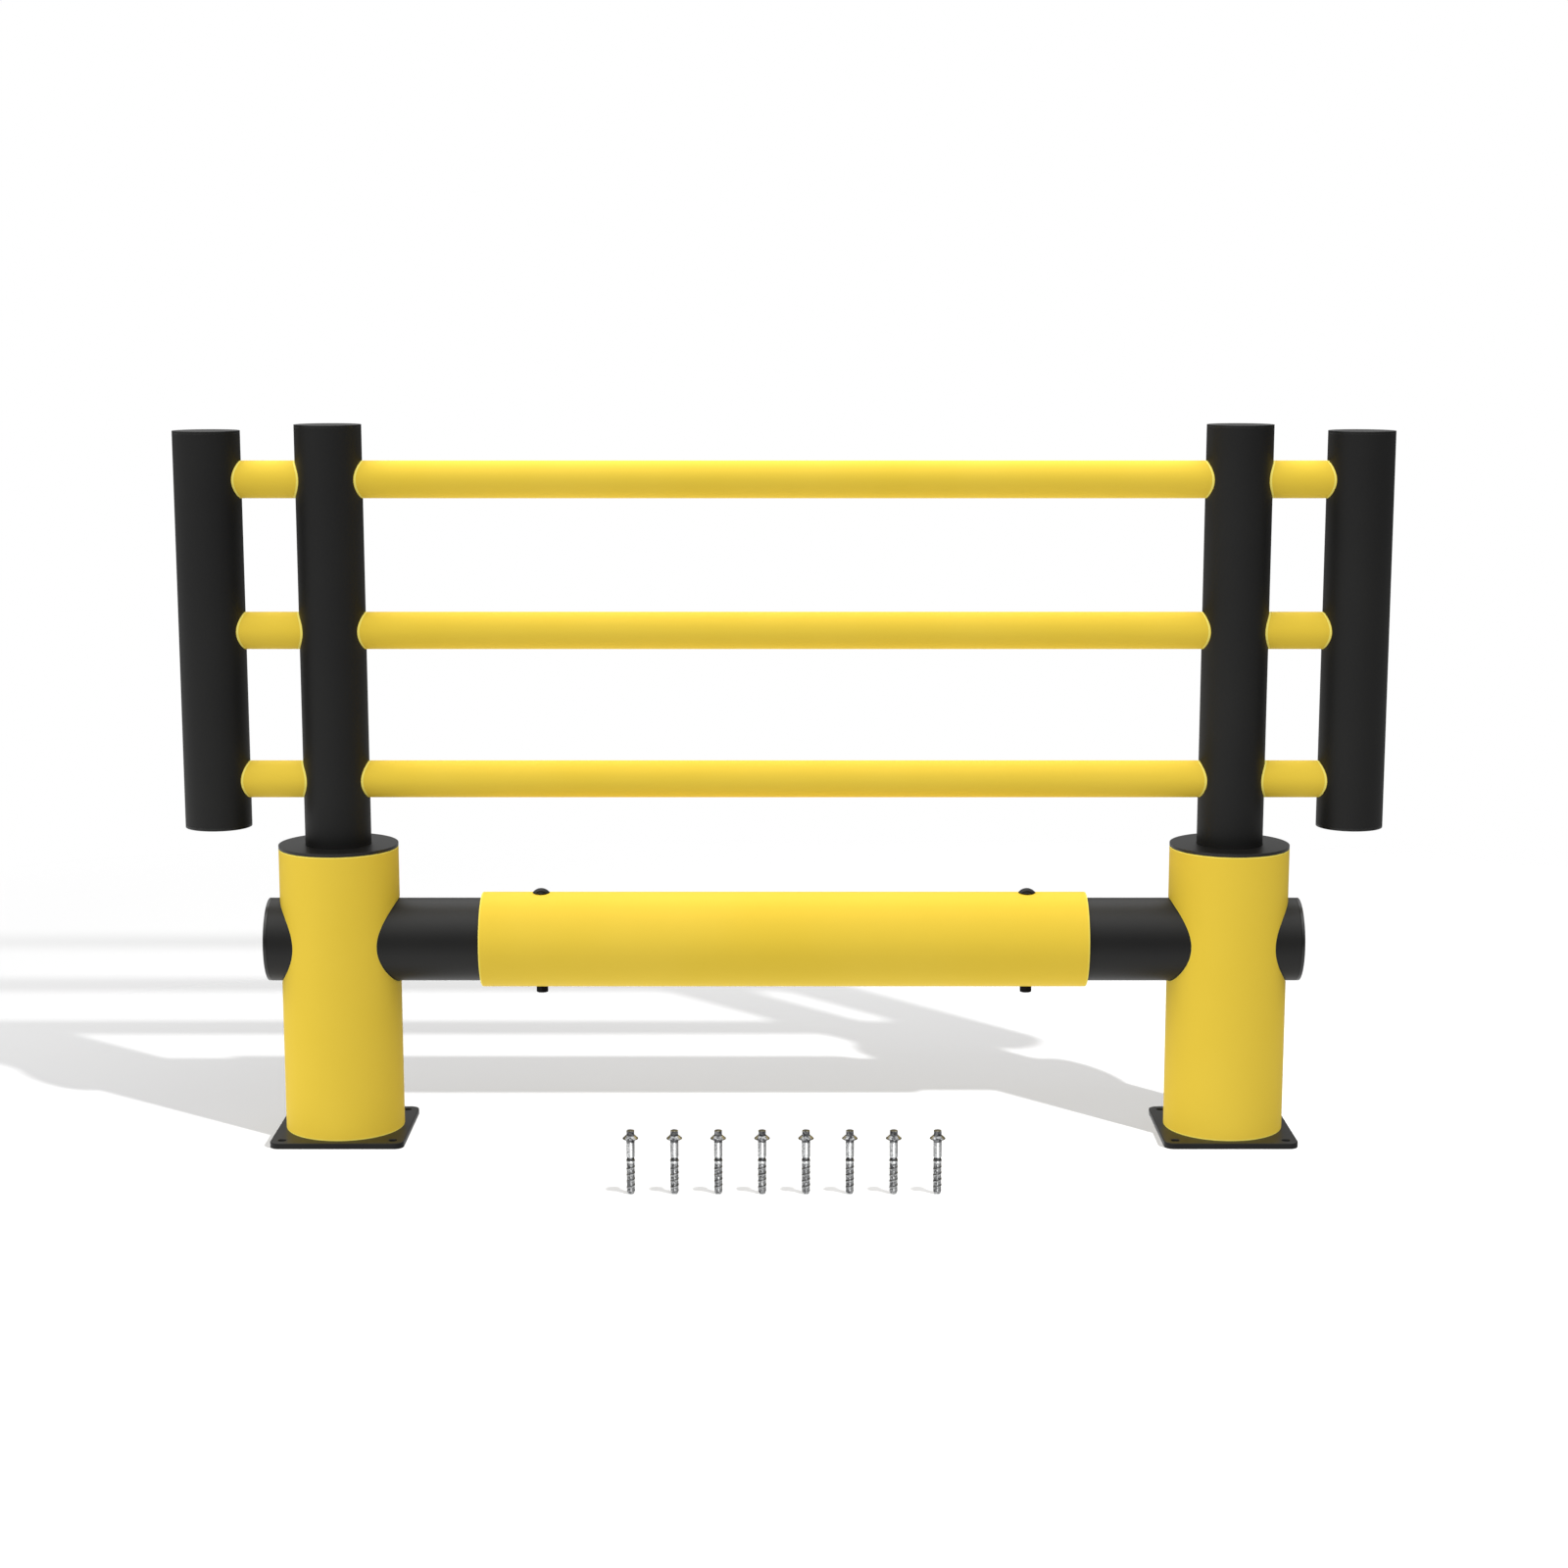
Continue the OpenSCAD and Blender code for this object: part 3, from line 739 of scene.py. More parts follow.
sleeve = level_tube("beam_sleeve", SLEEVE_WALL, SLEEVE_RIM)
head_front, head_back = span("beam_bolts", 1)
bolt_head_radius = (head_back - head_front) / 2
bolt_x = span("beam_bolts", 0)[1] - bolt_head_radius
sleeve_low, sleeve_high = span("beam_sleeve", 2)
cut(sleeve, [slot_cutter(s * bolt_x, sleeve_low - MM, sleeve_high + MM) for s in SIDES.values()])
finish_piece(sleeve, "beam", "yellow_polymer", yellow_level, "beam_sleeve")
# Paler rims and slot edges: a painted highlight.
paint_edge_highlight(sleeve, 0, yellow_edge_highlight)

# %% [markdown]
# ## Caps and collars
# A moulded cap plugs each open tube: a flange on the rim and a skirt that grips the bore. The collar
# is the same idea with a hole for the handrail post. A mould leaves their edges nearly sharp, so the
# roundings are small, and only the skirt's lower edge is eased, to help it into the tube.

# %% Helpers for caps and collars
CAP_EDGE, FLANGE_SEAT_EDGE, COLLAR_MOUTH_EDGE = 0.4 * MM, 0.3 * MM, 0.5 * MM
SKIRT_WALL, SKIRT_EDGE, SKIRT_GAP = 3 * MM, 1 * MM, 0.2 * MM
COLLAR_WALL = 4 * MM


def cap(name, radius, wall, flange, depth):
    """A cap about Z that stands on the plane z = 0, with its skirt below it."""
    skirt = radius - wall - SKIRT_GAP
    corners = [
        (skirt - SKIRT_WALL, -depth, 0),
        (skirt, -depth, SKIRT_EDGE),
        (skirt, 0, 0),
        (radius, 0, FLANGE_SEAT_EDGE),
        (radius, flange, CAP_EDGE),
    ]
    outline = rounded(corners + [(0, flange, 0), (0, -depth, 0)])[:-2]
    inside = Vector((skirt - SKIRT_WALL, -flange / 2))
    return skin(name, [circle(p.x, p.y) for p in [inside, *outline]])


def collar(name, radius, wall, hole, flange, depth):
    """The cover of a floor post about Z, with a skirt in the bore and a guide around the hole."""
    skirt = radius - wall - SKIRT_GAP
    guide, skirt_bore = hole + COLLAR_WALL, skirt - COLLAR_WALL
    corners = [
        (hole, -depth, 0),
        (guide, -depth, 0),
        (guide, 0, 0),
        (skirt_bore, 0, 0),
        (skirt_bore, -depth, 0),
        (skirt, -depth, SKIRT_EDGE),
        (skirt, 0, 0),
        (radius, 0, FLANGE_SEAT_EDGE),
        (radius, flange, CAP_EDGE),
        (hole, flange, COLLAR_MOUTH_EDGE),
    ]
    return turned_pipe(name, corners)


# %% Make the caps and collars
CAP_FLANGE, CONNECTOR_FLANGE, COLLAR_FLANGE = 4 * MM, 5 * MM, 5 * MM
UPSIDE_DOWN = Matrix.Rotation(math.pi, 4, "X")

for side, sign in SIDES.items():
    for node, turn in (
        (f"handrail_cap_{side}", None),
        (f"end_cap_top_{side}", None),
        (f"end_cap_bottom_{side}", UPSIDE_DOWN),
    ):
        low, high = span(node, 2)
        depth = high - low - CAP_FLANGE
        piece = cap(node + "_moulding", radius_about(node, 2), HANDRAIL_WALL, CAP_FLANGE, depth)
        put(piece, (middle(node).x, 0, low + CAP_FLANGE if turn else high - CAP_FLANGE), turn)
        finish_piece(piece, "barrier", "black_polymer", black_moulded, node)

    node = f"connector_cap_{side}"
    low, high = span(node, 0)
    depth = high - low - CONNECTOR_FLANGE
    piece = cap(node + "_moulding", radius_about(node, 0), CONNECTOR_WALL, CONNECTOR_FLANGE, depth)
    outward = Matrix.Rotation(sign * math.pi / 2, 4, "Y")
    seat = high - CONNECTOR_FLANGE if sign > 0 else low + CONNECTOR_FLANGE
    put(piece, (seat, 0, middle(node).z), outward)
    finish_piece(piece, "barrier", "black_polymer", black_moulded, node)

    node = f"post_collar_{side}"
    low, high = span(node, 2)
    hole = radius_about(f"handrail_post_{side}", 2) + SLIP_GAP
    depth = high - low - COLLAR_FLANGE
    piece = collar(node + "_moulding", radius_about(node, 2), FLOOR_POST_WALL, hole, COLLAR_FLANGE, depth)
    put(piece, (middle(node).x, 0, high - COLLAR_FLANGE))
    finish_piece(piece, "barrier", "black_polymer", black_moulded, node)

# %% [markdown]
# ## Base plates
# Each plate is flame-cut steel with rounded corners. The powder coat pulls back from sharp edges, so
# they are ground round first, and so are the mouths of the four anchor holes. The outline is one
# rounded square, stacked in rings that step in at the top and bottom edges. The light that reaches
# the feet of the posts comes up through the floor, and the plates let it pass.

# %% Helpers for the base plates
PLATE_CORNER = 16 * MM
PLATE_EDGE = 1.8 * MM
ANCHOR_HOLE_RADIUS, ANCHOR_HOLE_INSET, ANCHOR_HOLE_FLARE = 7 * MM, 19.5 * MM, 0.8 * MM
CORNER_STEPS = 10


def rounded_square(half, corner, z):
    """A ring around a square with round corners."""
    ring = []
    straight = half - corner
    for quarter, (sx, sy) in enumerate(((1, 1), (-1, 1), (-1, -1), (1, -1))):
        for step in range(CORNER_STEPS + 1):
            a = math.pi / 2 * (quarter + step / CORNER_STEPS)
            x, y = sx * straight + corner * math.cos(a), sy * straight + corner * math.sin(a)
            ring.append(Vector((x, y, z)))
    return ring


def plate_rings(half, thickness):
    """Rings from the underside to the top, stepping in around both rounded edges."""
    edges = [(half, 0, PLATE_EDGE / 2), (half, thickness, PLATE_EDGE)]
    profile = rounded([(0, 0, 0), *edges, (0, thickness, 0)])
    return [rounded_square(p.x, PLATE_CORNER - (half - p.x), p.y) for p in profile[1:-1]]


def hole_cutter(x, y, radius, thickness):
    """A round bar that flares at both ends, to cut a hole with rounded mouths."""
    flare = ANCHOR_HOLE_FLARE
    corners = [
        (radius + flare, -MM, 0),
        (radius + flare, 0, 0),
        (radius, flare, flare / 2),
        (radius, thickness - flare, flare / 2),
        (radius + flare, thickness, 0),
        (radius + flare, thickness + MM, 0),
    ]
    return put(turned_solid("hole", corners, FINE), (x, y, 0))


# %% Make the base plates
for side in SIDES:
    node = f"base_plate_{side}"
    low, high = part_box(node)
    half, thickness = (high.x - low.x) / 2, high.z - low.z
    plate = skin(node + "_plate", plate_rings(half, thickness))
    hole_place = half - ANCHOR_HOLE_INSET
    corners = [(x * hole_place, y * hole_place) for x in (-1, 1) for y in (-1, 1)]
    holes = [hole_cutter(x, y, ANCHOR_HOLE_RADIUS, thickness) for x, y in corners]
    cut(plate, [join("holes", holes)])
    put(plate, (middle(node).x, 0, low.z))
    finish_piece(plate, "barrier", "powder_coated_steel", plate_coat, node)
    plate.visible_diffuse = False

# %% [markdown]
# ## Bolts and nuts
# The beam's bolts have domed heads that nothing can catch on, and a square neck that stops them from
# turning in their slots. A ring whose radius follows a polygon gives the neck and the nut's hexagon,
# and a cone cut back from the corners gives the nut's chamfer.

# %% Helpers for bolts and nuts
SHANK_RADIUS, SHANK_CHAMFER = 6 * MM, 1 * MM
NECK_WIDTH, NECK_DEPTH = 12 * MM, 8.3 * MM
NECK_CORNER_RADIUS = SHANK_RADIUS * 1.35
NUT_WIDTH, NUT_CHAMFER, NUT_SLACK = 19 * MM, 1 * MM, 0.2 * MM
HEAD_LIP, HEAD_SEAT_SHARE, DOME_STEPS = 1.2 * MM, 0.97, 9
CHAMFER_SLOPE = math.tan(math.radians(30))


def polygon_ring(sides, width, z, cut_radius=None):
    """A ring around a polygon that is width across its flats, kept inside cut_radius."""
    ring = []
    for a in turns(FINE):
        within = (a + math.pi / sides) % (2 * math.pi / sides) - math.pi / sides
        r = width / 2 / math.cos(within)
        r = min(r, cut_radius) if cut_radius else r
        ring.append(Vector((r * math.cos(a), r * math.sin(a), z)))
    return ring


def chamfered_ring(sides, width, z, chamfer, up):
    """The ring where a polygon's flats meet the cone that chamfers its end at height z."""
    ring = []
    flat_radius = width / 2 - chamfer / 2
    for p in polygon_ring(sides, width, z):
        p.z = z - up * (p.xy.length - flat_radius) * CHAMFER_SLOPE
        ring.append(p)
    return ring


def domed_head(radius, underside, top):
    """Rings of a mushroom head, from its rim to its crown."""
    height = top - underside
    sphere = (radius**2 + height**2) / (2 * height)
    rings = [
        circle(radius * HEAD_SEAT_SHARE, underside, FINE),
        circle(radius, underside + HEAD_LIP / 2, FINE),
    ]
    for step in range(1, DOME_STEPS):
        r = radius * math.cos(step / DOME_STEPS * math.pi / 2)
        rings.append(circle(r, top - sphere + math.sqrt(sphere**2 - r**2), FINE))
    return rings


# %% Make the bolts and nuts
bolt_low, bolt_high = span("beam_bolts", 2)
bolt_seat = span("beam_sleeve", 2)[1] + SLIP_GAP
nut_low, nut_high = span("beam_nuts", 2)
for side, sign in SIDES.items():
    rings = [
        circle(SHANK_RADIUS - SHANK_CHAMFER, bolt_low, FINE),
        circle(SHANK_RADIUS, bolt_low + SHANK_CHAMFER, FINE),
        circle(SHANK_RADIUS, bolt_seat - NECK_DEPTH, FINE),
        polygon_ring(4, NECK_WIDTH, bolt_seat - NECK_DEPTH, NECK_CORNER_RADIUS),
        polygon_ring(4, NECK_WIDTH, bolt_seat, NECK_CORNER_RADIUS),
    ]
    bolt = skin(f"beam_bolt_{side}", rings + domed_head(bolt_head_radius, bolt_seat, bolt_high))
    put(bolt, (sign * bolt_x, 0, 0))
    finish_piece(bolt, "barrier", "black_fasteners", bolt_coat, "beam_bolts")

    bore, nut_face = SHANK_RADIUS + NUT_SLACK, NUT_WIDTH / 2 - NUT_CHAMFER / 2
    rings = [
        circle(bore, nut_low, FINE),
        circle(nut_face, nut_low, FINE),
        chamfered_ring(6, NUT_WIDTH, nut_low, NUT_CHAMFER, -1),
        chamfered_ring(6, NUT_WIDTH, nut_high, NUT_CHAMFER, 1),
        circle(nut_face, nut_high, FINE),
        circle(bore, nut_high, FINE),
    ]
    nut = put(skin(f"beam_nut_{side}", rings, ring_loop=True), (sign * bolt_x, 0, 0))
    finish_piece(nut, "barrier", "black_fasteners", bolt_coat, "beam_nuts")

# %% [markdown]
# ## Floor anchors
# These are concrete screws: a hexagon head on a sloping flange, a smooth neck with a bead and a
# notch at its lower end, and a coarse thread rolled on the shank. The whole anchor is one skin. A
# thread is a ridge whose height depends on both the angle and the height, so each ring's radius is
# looked up point by point.

# %% Helpers for the anchors' shape
ANCHOR_COUNT = 8
ANCHOR_CORE, ANCHOR_NECK, ANCHOR_CREST = 6.3 * MM, 6.7 * MM, 6.9 * MM
THREAD_PITCH, THREAD_ROWS_PER_PITCH = 10 * MM, 20
THREAD_START_ROWS, THREAD_END_ROWS = 6, 12
RIDGE_SHARE = 0.2
NECK_LENGTH, NECK_STEP = 40 * MM, 0.3 * MM
BEAD_HEIGHT, BEAD_RISE = 4.5 * MM, 0.2 * MM
NOTCH_HEIGHT, NOTCH_DEPTH = 9 * MM, 0.9 * MM
SHADED_NECK = 4 * MM
TIP_HEIGHT, TIP_CHAMFER = 3 * MM, 1.5 * MM
HEAD_HEIGHT, HEAD_WIDTH, HEAD_CHAMFER = 8 * MM, 12 * MM, 1.2 * MM
HEAD_CORNER = HEAD_WIDTH / 2 / math.cos(math.pi / 6)
FLANGE_RADIUS, FLANGE_DROP, FLANGE_RIM, FLANGE_HOLLOW = 12.5 * MM, 4.5 * MM, 1.5 * MM, 2 * MM


def thread_ring(z, depth):
    """One ring through the thread: a rounded ridge that climbs one pitch per turn."""
    ring = []
    for a in turns(FINE):
        phase = (z / THREAD_PITCH - a / (2 * math.pi)) % 1
        ridge = max(0, 1 - abs(phase - 0.5) / RIDGE_SHARE)
        r = ANCHOR_CORE + (ANCHOR_CREST - ANCHOR_CORE) * depth * math.sin(ridge * math.pi / 2)
        ring.append(Vector((r * math.cos(a), r * math.sin(a), z)))
    return ring


def anchor_rings(length):
    """Rings of an anchor that stands on its tip, from the floor up."""
    head = length - HEAD_HEIGHT
    rim = head - FLANGE_DROP - FLANGE_RIM
    rings = [
        circle(ANCHOR_CORE - TIP_CHAMFER, 0, FINE),
        circle(ANCHOR_CORE - 0.4 * MM, TIP_HEIGHT, FINE),
    ]
    thread_top = rim - NECK_LENGTH
    rows = round((thread_top - TIP_HEIGHT) / THREAD_PITCH * THREAD_ROWS_PER_PITCH)
    for row in range(rows + 1):
        z = TIP_HEIGHT + MM + (thread_top - TIP_HEIGHT - MM) * row / rows
        rings.append(thread_ring(z, min(1, row / THREAD_START_ROWS, (rows - row) / THREAD_END_ROWS)))
    bead, notch = thread_top + BEAD_HEIGHT, thread_top + NOTCH_HEIGHT
    neck_and_flange = [
        (ANCHOR_NECK - NECK_STEP, thread_top + 1.5 * MM),
        (ANCHOR_NECK + BEAD_RISE, bead - MM),
        (ANCHOR_NECK + BEAD_RISE, bead + MM),
        (ANCHOR_NECK - NOTCH_DEPTH, notch - MM),
        (ANCHOR_NECK - NOTCH_DEPTH, notch + MM),
        (ANCHOR_NECK, notch + 2.5 * MM),
        (ANCHOR_NECK, rim - SHADED_NECK - 2 * MM),
        (ANCHOR_NECK, rim - SHADED_NECK),
        (ANCHOR_NECK, rim + FLANGE_HOLLOW),
        (FLANGE_RADIUS - 0.6 * MM, rim),
        (FLANGE_RADIUS, rim + 0.5 * MM),
        (FLANGE_RADIUS, rim + FLANGE_RIM - 0.3 * MM),
        (FLANGE_RADIUS - 0.5 * MM, rim + FLANGE_RIM),
        (FLANGE_RADIUS - 1.2 * MM, rim + FLANGE_RIM + 0.6 * MM),
        (HEAD_CORNER + 0.3 * MM, head),
    ]
    rings += [circle(r, z, FINE) for r, z in neck_and_flange]
    rings.append(polygon_ring(6, HEAD_WIDTH, head))
    rings.append(chamfered_ring(6, HEAD_WIDTH, length, HEAD_CHAMFER, 1))
    rings.append(circle(HEAD_WIDTH / 2 - HEAD_CHAMFER / 2, length, FINE))
    rings.append(circle(HEAD_WIDTH / 4, length, FINE))
    return rings


# %% [markdown]
# ## Painted light on the anchors
# The zinc of each anchor is brighter or duller by its shape, partly from wear and partly as painted
# light. A stripe of painted highlight runs down the shank, turned a little to one side, and the crests
# of the thread are painted brighter than its roots. The top of the neck under the flange, the flange's
# rim and the flange's front get painted shade, the flange is painted lighter to the right, and the
# head's right side is painted lighter than its left. A painted texture would need each screw to be
# unwrapped. A value that is worked out for each point of the mesh needs nothing more.

# %% Say how bright the anchors are
# Painted highlight and painted shade are in the head's sides, the flange, the neck's top, the stripes and
# the crests.
WEAR_AND_PAINTED_LIGHT = dict(
    head_left=0.14,
    head_right=0.2,
    flange_rim=0.05,
    flange=0.42,
    flange_painted_light_right=0.15,
    flange_painted_shade_front=0.38,
    shaded_neck=0.1,
    notch=0.1,
    notch_painted_highlight=0.2,
    neck=0.42,
    neck_painted_highlight=0.48,
    thread=0.17,
    thread_painted_highlight=0.25,
    thread_crest_painted_light=0.14,
    tip=0.5,
)
HIGHLIGHT_TURN, THREAD_HIGHLIGHT_TURN = math.radians(16), math.radians(34)
HIGHLIGHT_SPREAD, FLANGE_SHADE_SPREAD = math.radians(24), math.radians(35)


def hump(angle, centre, spread):
    """1 at the centre, falling smoothly to nothing on both sides."""
    return math.exp(-(((angle - centre) / spread) ** 2))


def wear_and_painted_light_at(point, length):
    """How bright the zinc is at a point of an anchor, from 0 for dull to 1 for bright, by wear and painted
    light.
    """
    rim = length - HEAD_HEIGHT - FLANGE_DROP - FLANGE_RIM
    thread_top = rim - NECK_LENGTH
    out = point.xy.length
    # The head's right side is painted lighter than its left: painted light from one side.
    if point.z > length - HEAD_HEIGHT:
        return WEAR_AND_PAINTED_LIGHT["head_left"] if point.x < 0 else WEAR_AND_PAINTED_LIGHT["head_right"]
    # The flange's rim gets painted shade.
    if out > FLANGE_RADIUS - 0.7 * MM:
        return WEAR_AND_PAINTED_LIGHT["flange_rim"]
    facing = math.atan2(point.x, -point.y)
    # The flange is painted lighter to the right and darker in front: painted light and painted shade.
    if out > ANCHOR_NECK + 0.3 * MM and point.z > rim:
        to_the_right = WEAR_AND_PAINTED_LIGHT["flange_painted_light_right"] * point.x / FLANGE_RADIUS
        in_front = WEAR_AND_PAINTED_LIGHT["flange_painted_shade_front"] * hump(facing, 0, FLANGE_SHADE_SPREAD)
        return WEAR_AND_PAINTED_LIGHT["flange"] + to_the_right - in_front
    # The top of the neck gets painted shade under the flange.
    if point.z > rim - SHADED_NECK - 0.1 * MM:
        return WEAR_AND_PAINTED_LIGHT["shaded_neck"]
    # A stripe of painted highlight down the neck, the notch and the thread.
    highlight = hump(facing, HIGHLIGHT_TURN, HIGHLIGHT_SPREAD)
    if abs(point.z - thread_top - NOTCH_HEIGHT) < 1.5 * MM:
        return WEAR_AND_PAINTED_LIGHT["notch"] + WEAR_AND_PAINTED_LIGHT["notch_painted_highlight"] * highlight
    if point.z > thread_top:
        return WEAR_AND_PAINTED_LIGHT["neck"] + WEAR_AND_PAINTED_LIGHT["neck_painted_highlight"] * highlight
    if point.z <= TIP_HEIGHT:
        return WEAR_AND_PAINTED_LIGHT["tip"]
    # The crests of the thread are painted brighter than its roots: painted highlight and painted shade.
    crest = (out - ANCHOR_CORE) / (ANCHOR_CREST - ANCHOR_CORE)
    thread_painted_highlight = hump(facing, THREAD_HIGHLIGHT_TURN, HIGHLIGHT_SPREAD)
    return WEAR_AND_PAINTED_LIGHT["thread"] + WEAR_AND_PAINTED_LIGHT["thread_painted_highlight"] * thread_painted_highlight + WEAR_AND_PAINTED_LIGHT["thread_crest_painted_light"] * crest


# %% Make the floor anchors
anchors_low, anchors_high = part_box("floor_anchors")
first_x = anchors_low.x + FLANGE_RADIUS
anchor_pitch = (anchors_high.x - anchors_low.x - 2 * FLANGE_RADIUS) / (ANCHOR_COUNT - 1)
anchor_y = (anchors_low.y + anchors_high.y) / 2

for i in range(ANCHOR_COUNT):
    anchor = skin(f"floor_anchor_{i + 1}", anchor_rings(anchors_high.z))
    # Each point keeps its share of wear and painted light.
    wear_and_painted_light = anchor.data.attributes.new("wear_and_painted_light", "FLOAT", "POINT")
    wear_and_painted_light.data.foreach_set("value", [wear_and_painted_light_at(v.co, anchors_high.z) for v in anchor.data.vertices])
    put(anchor, (first_x + i * anchor_pitch, anchor_y, 0))
    finish_piece(anchor, "anchors", "zinc_plated_steel", anchor_zinc, "floor_anchors")

# %% [markdown]
# ## Finishes for the hidden pieces
# The pieces inside the posts keep their CAD meshes, because nothing softer than their true shape is
# needed, and each gets the finish of what it is made of.

# %% Dress the hidden CAD pieces
INSIDE = {
    "base_spigot_left": plate_coat,
    "base_spigot_right": plate_coat,
    "tie_rod_bosses": plate_coat,
    "handrail_seat_left": black_moulded,
    "handrail_seat_right": black_moulded,
    "foot_plug_left": black_moulded,
    "foot_plug_right": black_moulded,
    "foot_screws": zinc,
    "tie_rods": zinc,
    "tie_washers": zinc,
    "tie_nuts": zinc,
    "rail_pins": glass_fibre,
    "end_rail_pins": glass_fibre,
}
for node, material in INSIDE.items():
    cad_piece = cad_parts[node]
    cad_piece.data.materials.clear()
    cad_piece.data.materials.append(material)
print("dressed", len(INSIDE), "hidden pieces")

# %% [markdown]
# ## The floor
# The barrier stands on a white paper sweep. Its shading gives way to the plain white around it as it
# runs away from the barrier, so that no horizon shows. Only the camera sees it: the light that comes
# up to the barrier is the lower half of the sky below, which stays even where the floor is in shade.

# %% Lay the floor
FLOOR_RADIUS = 6.0
POSTS_REACH = span("floor_post_right", 0)[0]
FADE_START, FADE_END = 0.45, 2.7


def paper_sweep(name, grey):
    """Matt paper that fades to clear with distance from the strip between the two posts."""
    material, tree, shader, place = start_material(name)
    shader.inputs["Base Color"].default_value = colour(grey)
    shader.inputs["Roughness"].default_value = 1.0
    shader.inputs["Specular IOR Level"].default_value = 0.0
    parts = add(tree, "ShaderNodeSeparateXYZ", {"Vector": place})
    across = add(tree, "ShaderNodeMath", {0: parts.outputs["X"]}, operation="ABSOLUTE")
    beyond = add(tree, "ShaderNodeMath", {0: across.outputs[0], 1: POSTS_REACH}, operation="SUBTRACT")
    outside = add(tree, "ShaderNodeMath", {0: beyond.outputs[0], 1: 0.0}, operation="MAXIMUM")
    offset = add(tree, "ShaderNodeCombineXYZ", {"X": outside.outputs[0], "Y": parts.outputs["Y"]})
    distance = add(tree, "ShaderNodeVectorMath", {0: offset.outputs[0]}, operation="LENGTH")
    fade = add(
        tree,
        "ShaderNodeMapRange",
        {"Value": distance.outputs["Value"], "From Min": FADE_START, "From Max": FADE_END},
    )
    clear = add(tree, "ShaderNodeBsdfTransparent")
    mixed = add(
        tree,
        "ShaderNodeMixShader",
        {0: fade.outputs["Result"], 1: shader.outputs["BSDF"], 2: clear.outputs["BSDF"]},
    )
    tree.links.new(mixed.outputs["Shader"], tree.nodes["Material Output"].inputs["Surface"])
    print("material", name)
    return material


floor_mesh = bpy.data.meshes.new("studio_floor")
floor_mesh.from_pydata(circle(FLOOR_RADIUS, 0), [], [tuple(range(AROUND))])
floor = bpy.data.objects.new("studio_floor", floor_mesh)
floor.data.materials.append(paper_sweep("white paper sweep", "#707070"))
bpy.context.scene.collection.objects.link(floor)
floor.visible_diffuse = floor.visible_glossy = floor.visible_shadow = False
print("floor radius", FLOOR_RADIUS, "m")

# %% [markdown]
# ## The sky
# A soft studio light has no edges: it is brightest overhead, dim at the level of the eye, bright again
# from the white floor below, and stronger from the left than from the right. The camera itself sees
# only plain white behind the barrier.

# %% Light the barrier from all round
SKY_TOP, SKY_TOP_FOCUS = 4.3, 1.9
SKY_BELOW, SKY_BELOW_FROM = 1.4, -0.4
SKY_LEFT, SKY_RIGHT = 1.4, 0.6

scene = bpy.context.scene
scene.view_settings.view_transform = "Standard"

world = bpy.data.worlds.new("studio")
world.use_nodes = True
scene.world = world
tree = world.node_tree
backdrop = tree.nodes["Background"]
backdrop.inputs["Color"].default_value = (1, 1, 1, 1)
direction = add(tree, "ShaderNodeTexCoord").outputs["Generated"]
parts = add(tree, "ShaderNodeSeparateXYZ", {"Vector": direction})
height = add(tree, "ShaderNodeMath", {0: parts.outputs["Z"], 1: 0.0}, operation="MAXIMUM")
focus = add(tree, "ShaderNodeMath", {0: height.outputs[0], 1: SKY_TOP_FOCUS}, operation="POWER")
above = add(tree, "ShaderNodeMath", {0: focus.outputs[0], 1: SKY_TOP}, operation="MULTIPLY")
below = add(
    tree,
    "ShaderNodeMapRange",
    {"Value": parts.outputs["Z"], "From Min": 0.0, "From Max": SKY_BELOW_FROM, "To Max": SKY_BELOW},
    interpolation_type="SMOOTHSTEP",
)
sideways = add(
    tree,
    "ShaderNodeMapRange",
    {"Value": parts.outputs["X"], "From Min": -1.0, "To Min": SKY_LEFT, "To Max": SKY_RIGHT},
)
upright = add(tree, "ShaderNodeMath", {0: above.outputs[0], 1: below.outputs[0]}, operation="ADD")
glow = add(tree, "ShaderNodeMath", {0: upright.outputs[0], 1: sideways.outputs[0]}, operation="MULTIPLY")
soft_light = add(tree, "ShaderNodeBackground", {"Strength": glow.outputs[0]})
seen = add(tree, "ShaderNodeLightPath").outputs["Is Camera Ray"]
studio = add(
    tree,
    "ShaderNodeMixShader",
    {0: seen, 1: soft_light.outputs["Background"], 2: backdrop.outputs["Background"]},
)
tree.links.new(studio.outputs["Shader"], tree.nodes["World Output"].inputs["Surface"])
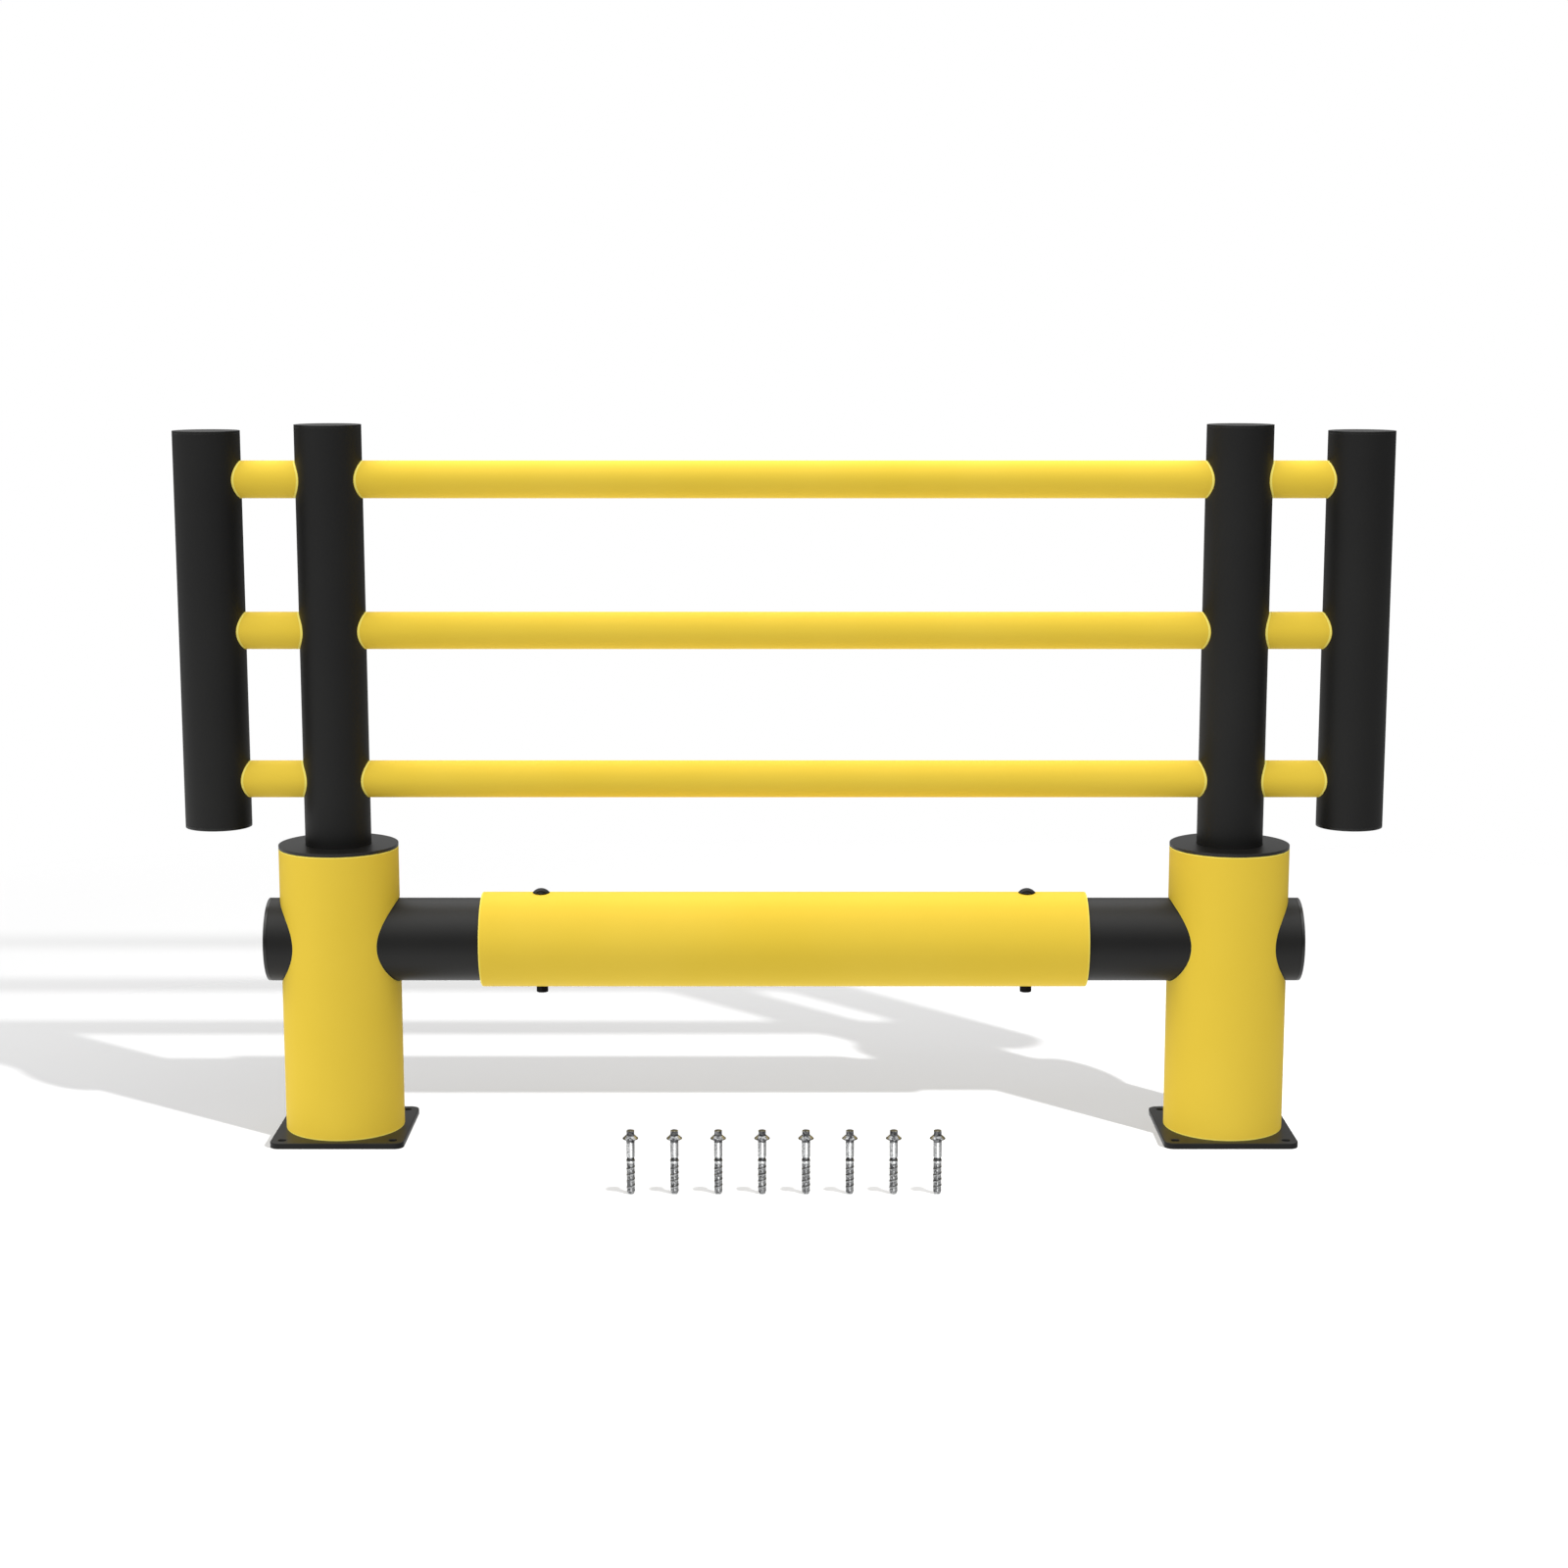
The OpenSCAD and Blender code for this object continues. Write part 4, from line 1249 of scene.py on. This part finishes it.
print("sky from", SKY_RIGHT * SKY_BELOW, "to", SKY_LEFT * SKY_TOP)

# %% [markdown]
# ## The shadows
# Two lamps light the floor only. One stands high in front on the right and draws the barrier's long
# shadows to the left and back. The other shines almost straight down on the anchors, whose own
# shadows are short. A third lamp shines on the anchors alone, from low in front, and puts a bright
# streak down the middle of their necks.


# %% Hang the lamps
def group_of(name, objects):
    """A collection that is not in the scene, to tell a lamp what it lights or what shades it."""
    group = bpy.data.collections.new(name)
    for item in objects:
        group.objects.link(item)
    return group


def lamp(name, kind, strength, place, lights, shaded_by, **shape):
    """A lamp that lights one list of objects and is shaded by another list."""
    data = bpy.data.lights.new(name, kind)
    data.energy = strength
    for setting, value in shape.items():
        setattr(data, setting, value)
    hung = bpy.data.objects.new(name, data)
    hung.location = place
    scene.collection.objects.link(hung)
    hung.light_linking.receiver_collection = group_of(name + " lights", lights)
    hung.light_linking.blocker_collection = group_of(name + " shaded by", shaded_by)
    print(name, "at", tuple(round(v, 2) for v in place))
    return hung


def aim(hung, target):
    """Turns a lamp's beam to a point."""
    hung.rotation_euler = (Vector(target) - hung.location).to_track_quat("-Z", "Y").to_euler()


KEY_PLACE, KEY_POWER, KEY_SIZE = (4.75, -4.4, 4.45), 14000.0, 0.11
DOWN_PLACE, DOWN_STRENGTH, DOWN_SPREAD = (0.33, -0.61, 1.0), 9.0, math.radians(4)
STREAK_PLACE, STREAK_POWER, STREAK_SIZE = (0.5, -4.2, -1.1), 24.0, 1.4

anchors = [piece for piece in made if piece.name.startswith("floor_anchor")]
standing = [piece for piece in made if piece not in anchors]
lamp("barrier shadow lamp", "POINT", KEY_POWER, KEY_PLACE, [floor], standing, shadow_soft_size=KEY_SIZE)
down = lamp("anchor shadow lamp", "SUN", DOWN_STRENGTH, DOWN_PLACE, [floor], anchors, angle=DOWN_SPREAD)
aim(down, (0, anchor_y, 0))
streak = lamp("streak lamp", "AREA", STREAK_POWER, STREAK_PLACE, anchors, [], size=STREAK_SIZE)
aim(streak, (0, anchor_y, 0))
